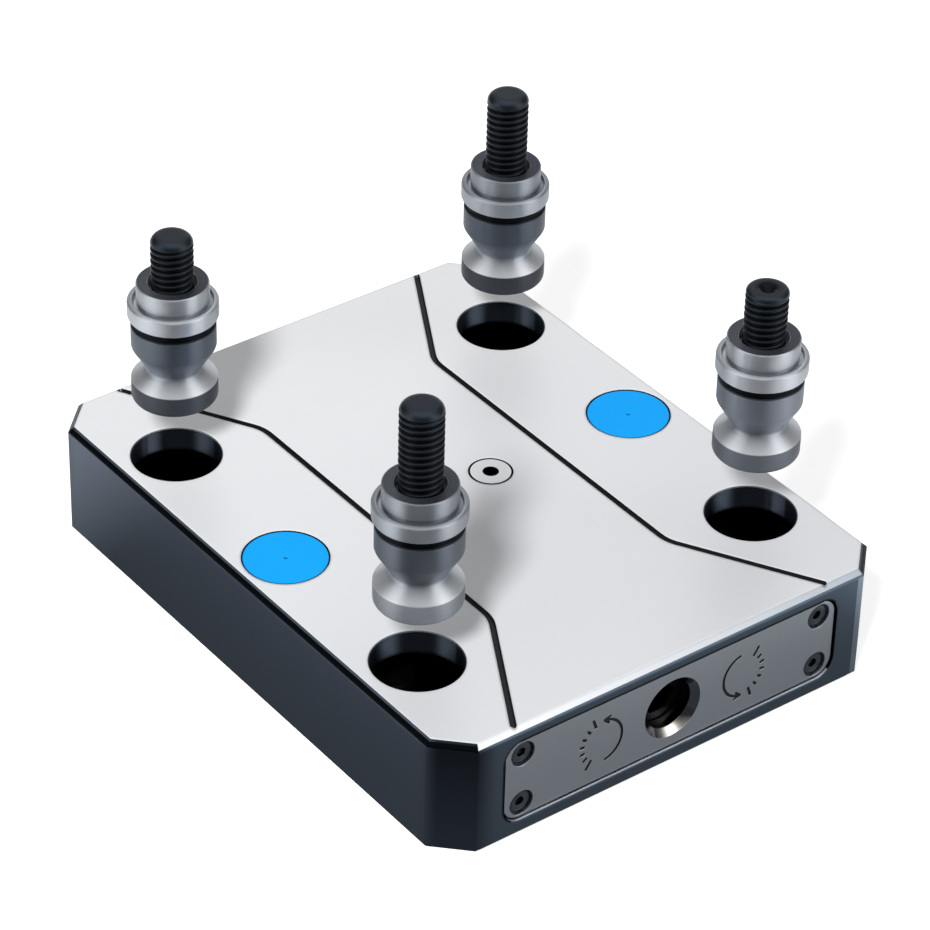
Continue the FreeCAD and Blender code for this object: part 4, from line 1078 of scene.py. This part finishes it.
def stud_screw_finish(foot, length, dimpled):
    """Black oxide, with painted shade in the thread's roots and in a dimple and painted light on
    the flat of the tip.
    """
    material, tree, shader = new_finish("stud_screw_black_oxide", Metallic=0.9)
    place = lathe_place(tree, tree.nodes.new("ShaderNodeTexCoord").outputs, foot)
    x, y, z = axes(tree, place)
    radius = off_axis(tree, x, y)
    rings = use_group(tree, RINGS, Place=place)
    on_tip = above(tree, z, length - 0.0016)
    colour = layered(
        tree,
        blend(tree, rings["Tone"], tint("1a1e23"), tint("2a3038")),
        # painted shade in the thread's roots
        (spread(tree, radius, 0.0049, 0.0043), tint("08090b")),
        # painted light on the flat of the tip
        (on_tip, tint("2b3139")),
    )
    if dimpled:
        # painted shade in the dimple
        dimple_painted_shade = times(tree, spread(tree, radius, 0.0034, 0.0022), on_tip)
        colour = blend(tree, dimple_painted_shade, colour, tint("0d0f12"))
    roughness = spread(tree, rings["Tone"], 0.2, 0.8, 0.30, 0.40)
    normal = bumped(tree, 0.06, rings["Height"])
    wire(tree, shader, Base_Color=colour, Roughness=roughness, Normal=normal)
    return material


SCREW_START = 0.0082
PITCH = 0.00166
THREAD = thread_tree()
for spot, (hover, reach, *tones) in STUDS.items():
    foot = stud_foot(spot, hover) + Vector((0.0, 0.0, SCREW_START))
    length = reach * MM - SCREW_START - 0.00001
    dimpled = spot == "front_right"
    sizes = {
        "Foot": tuple(foot),
        "Length": length,
        "Pitch": PITCH,
        "Turns": math.ceil((length + TIP_ROOM) / PITCH) + 2,
        "Tip Rounding": 0.0012 if dimpled else 0.0021,
        "Dimple Radius": 0.0027,
        "Dimple Depth": 0.0012 if dimpled else 0.0,
        "Finish": stud_screw_finish(foot, length, dimpled),
    }
    screw = grown(spot + "_threaded_screw", THREAD, points_mesh("blank", [tuple(foot)]), sizes)
    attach(screw, "stud_" + spot)
    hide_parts(spot + "_screw")


# Floor, lamps and camera
# A white table, lit from within under the plate and clear from below so that the underside can be
# looked at, white surroundings, two soft lamps, and the camera where the photograph's was.


FLOOR_LEVEL = -0.0002
UNDER_PLATE = (0.0622, 0.0792)
TO_CAMERA = (-0.61, -0.79, 0.0)
CAMERA_RIGHT = (0.79, -0.61, 0.0)


def bearing(tree, x, y, direction):
    """How far round a place or a ray lies towards a direction, from -1 to 1."""
    flat = move(tree, "NORMALIZE", join(tree, x, y))
    return measure(tree, "DOT_PRODUCT", flat, direction)


def white_table():
    """Near white to the camera; what polished steel mirrors of it is darker near the plate."""
    material = bpy.data.materials.new("white_table")
    material.use_nodes = True
    tree = material.node_tree
    tree.nodes.clear()
    path = tree.nodes.new("ShaderNodeLightPath").outputs
    camera_ray, glossy_ray = path["Is Camera Ray"], path["Is Glossy Ray"]
    x, y, z = axes(tree, tree.nodes.new("ShaderNodeTexCoord").outputs["Object"])

    # what glossy rays see, beside the plate and far towards the camera
    behind = smooth(tree, work(tree, "ADD", y, times(tree, x, 0.3)), 0.025, 0.088, 0.12, 1.0)
    mirrored = work(tree, "MAXIMUM", behind, smooth(tree, x, 0.068, 0.09, 0.2, 0.9))
    far = work(tree, "MAXIMUM", spread(tree, x, -0.105, -0.125), spread(tree, y, -0.125, -0.145))
    far = times(tree, far, smooth(tree, bearing(tree, x, y, TO_CAMERA), 0.96, 0.7, 0.0, 1.1))
    mirrored = work(tree, "MAXIMUM", mirrored, far)
    shade = times(tree, glossy_ray, work(tree, "SUBTRACT", mirrored, 1.0))
    shade = work(tree, "ADD", shade, 1.0)

    # its own light, and the even light under the plate
    light = times(tree, work(tree, "MAXIMUM", camera_ray, glossy_ray), 0.62, shade)
    light = work(tree, "ADD", light, times(tree, camera_ray, 0.12))
    corner = work(tree, "ADD", work(tree, "ABSOLUTE", x), work(tree, "ABSOLUTE", y))
    covered = below(tree, corner, INNER_CORNER)
    for way, reach in zip((x, y), UNDER_PLATE):
        covered = times(tree, covered, within(tree, way, -reach, reach))
    lit = work(tree, "MAXIMUM", path["Is Diffuse Ray"], glossy_ray)
    light = times(tree, light, rest_of(tree, covered))
    light = work(tree, "ADD", light, times(tree, covered, lit, 0.6))

    grey = times(tree, shade, 0.72)
    matt = fit(tree, "ShaderNodeBsdfDiffuse", {"Color": join(tree, grey, grey, grey)}).outputs[0]
    glow = fit(tree, "ShaderNodeEmission", {"Strength": light}).outputs[0]
    both = fit(tree, "ShaderNodeAddShader", {0: matt, 1: glow}).outputs[0]
    from_below = tree.nodes.new("ShaderNodeNewGeometry").outputs["Backfacing"]
    clear = tree.nodes.new("ShaderNodeBsdfTransparent").outputs[0]
    surface = fit(tree, "ShaderNodeMixShader", {0: from_below, 1: both, 2: clear}).outputs[0]
    fit(tree, "ShaderNodeOutputMaterial", {"Surface": surface})
    return material


def white_surroundings():
    """White to the camera and dim on matt faces; glossy rays see a bright band to the sides, a
    dark one towards the camera, and light from above."""
    world = bpy.data.worlds.new("studio")
    world.use_nodes = True
    tree = world.node_tree
    tree.nodes.clear()
    path = tree.nodes.new("ShaderNodeLightPath").outputs
    x, y, z = axes(tree, tree.nodes.new("ShaderNodeTexCoord").outputs["Generated"])
    toward = bearing(tree, x, y, TO_CAMERA)
    aside = bearing(tree, x, y, CAMERA_RIGHT)
    outer = smooth(tree, toward, -0.22, 0.35, 0.22, 2.0)
    outer = work(tree, "MAXIMUM", outer, smooth(tree, toward, -0.75, -0.95, 0.0, 0.75))
    outer = times(tree, outer, spread(tree, aside, -1.0, 1.0, 0.8, 1.15))
    mirrored = work(tree, "MINIMUM", outer, smooth(tree, toward, 0.45, 0.85, 2.0, 0.2))
    mirrored = work(tree, "MAXIMUM", mirrored, spread(tree, z, 0.55, 0.92, 0.0, 1.6))
    strength = work(tree, "MAXIMUM", path["Is Camera Ray"], path["Is Transmission Ray"])
    strength = work(tree, "ADD", strength, times(tree, path["Is Glossy Ray"], mirrored))
    strength = work(tree, "ADD", strength, times(tree, path["Is Diffuse Ray"], 0.23))
    white = {"Color": (1.0, 1.0, 1.0, 1.0), "Strength": strength}
    background = fit(tree, "ShaderNodeBackground", white).outputs[0]
    fit(tree, "ShaderNodeOutputWorld", {"Surface": background})
    return world


def lamp(name, place, size, power, aim=(0.0, 0.0, 0.04)):
    data = bpy.data.lights.new(name, "AREA")
    data.shape = "DISK"
    data.size = size
    data.energy = power
    piece = bpy.data.objects.new(name, data)
    piece.location = place
    piece.rotation_euler = (Vector(place) - Vector(aim)).to_track_quat("Z", "Y").to_euler()
    piece.visible_glossy = False
    bpy.context.scene.collection.objects.link(piece)


table = bpy.data.meshes.new("floor")
corners = [(-3.4, -4.6), (4.6, -4.6), (4.6, 3.4), (-3.4, 3.4)]
table.from_pydata([(*corner, FLOOR_LEVEL) for corner in corners], [], [(0, 1, 2, 3)])
table.materials.append(white_table())
floor = bpy.data.objects.new("floor", table)
bpy.context.scene.collection.objects.link(floor)
bpy.context.scene.world = white_surroundings()
lamp("key_lamp", (-0.80, -0.62, 1.02), 0.24, 22.5)
lamp("fill_lamp", (0.9, -0.6, 0.9), 0.8, 1.0)

camera = bpy.data.objects.new("camera", bpy.data.cameras.new("camera"))
camera.location = (-0.473425, -0.613653, 0.588480)
camera.rotation_euler = Euler([math.radians(a) for a in (54.4756, -1.27786, -36.7909)])
camera.data.lens = 158.024
camera.data.sensor_width = 36.0
bpy.context.scene.collection.objects.link(camera)
bpy.context.scene.camera = camera
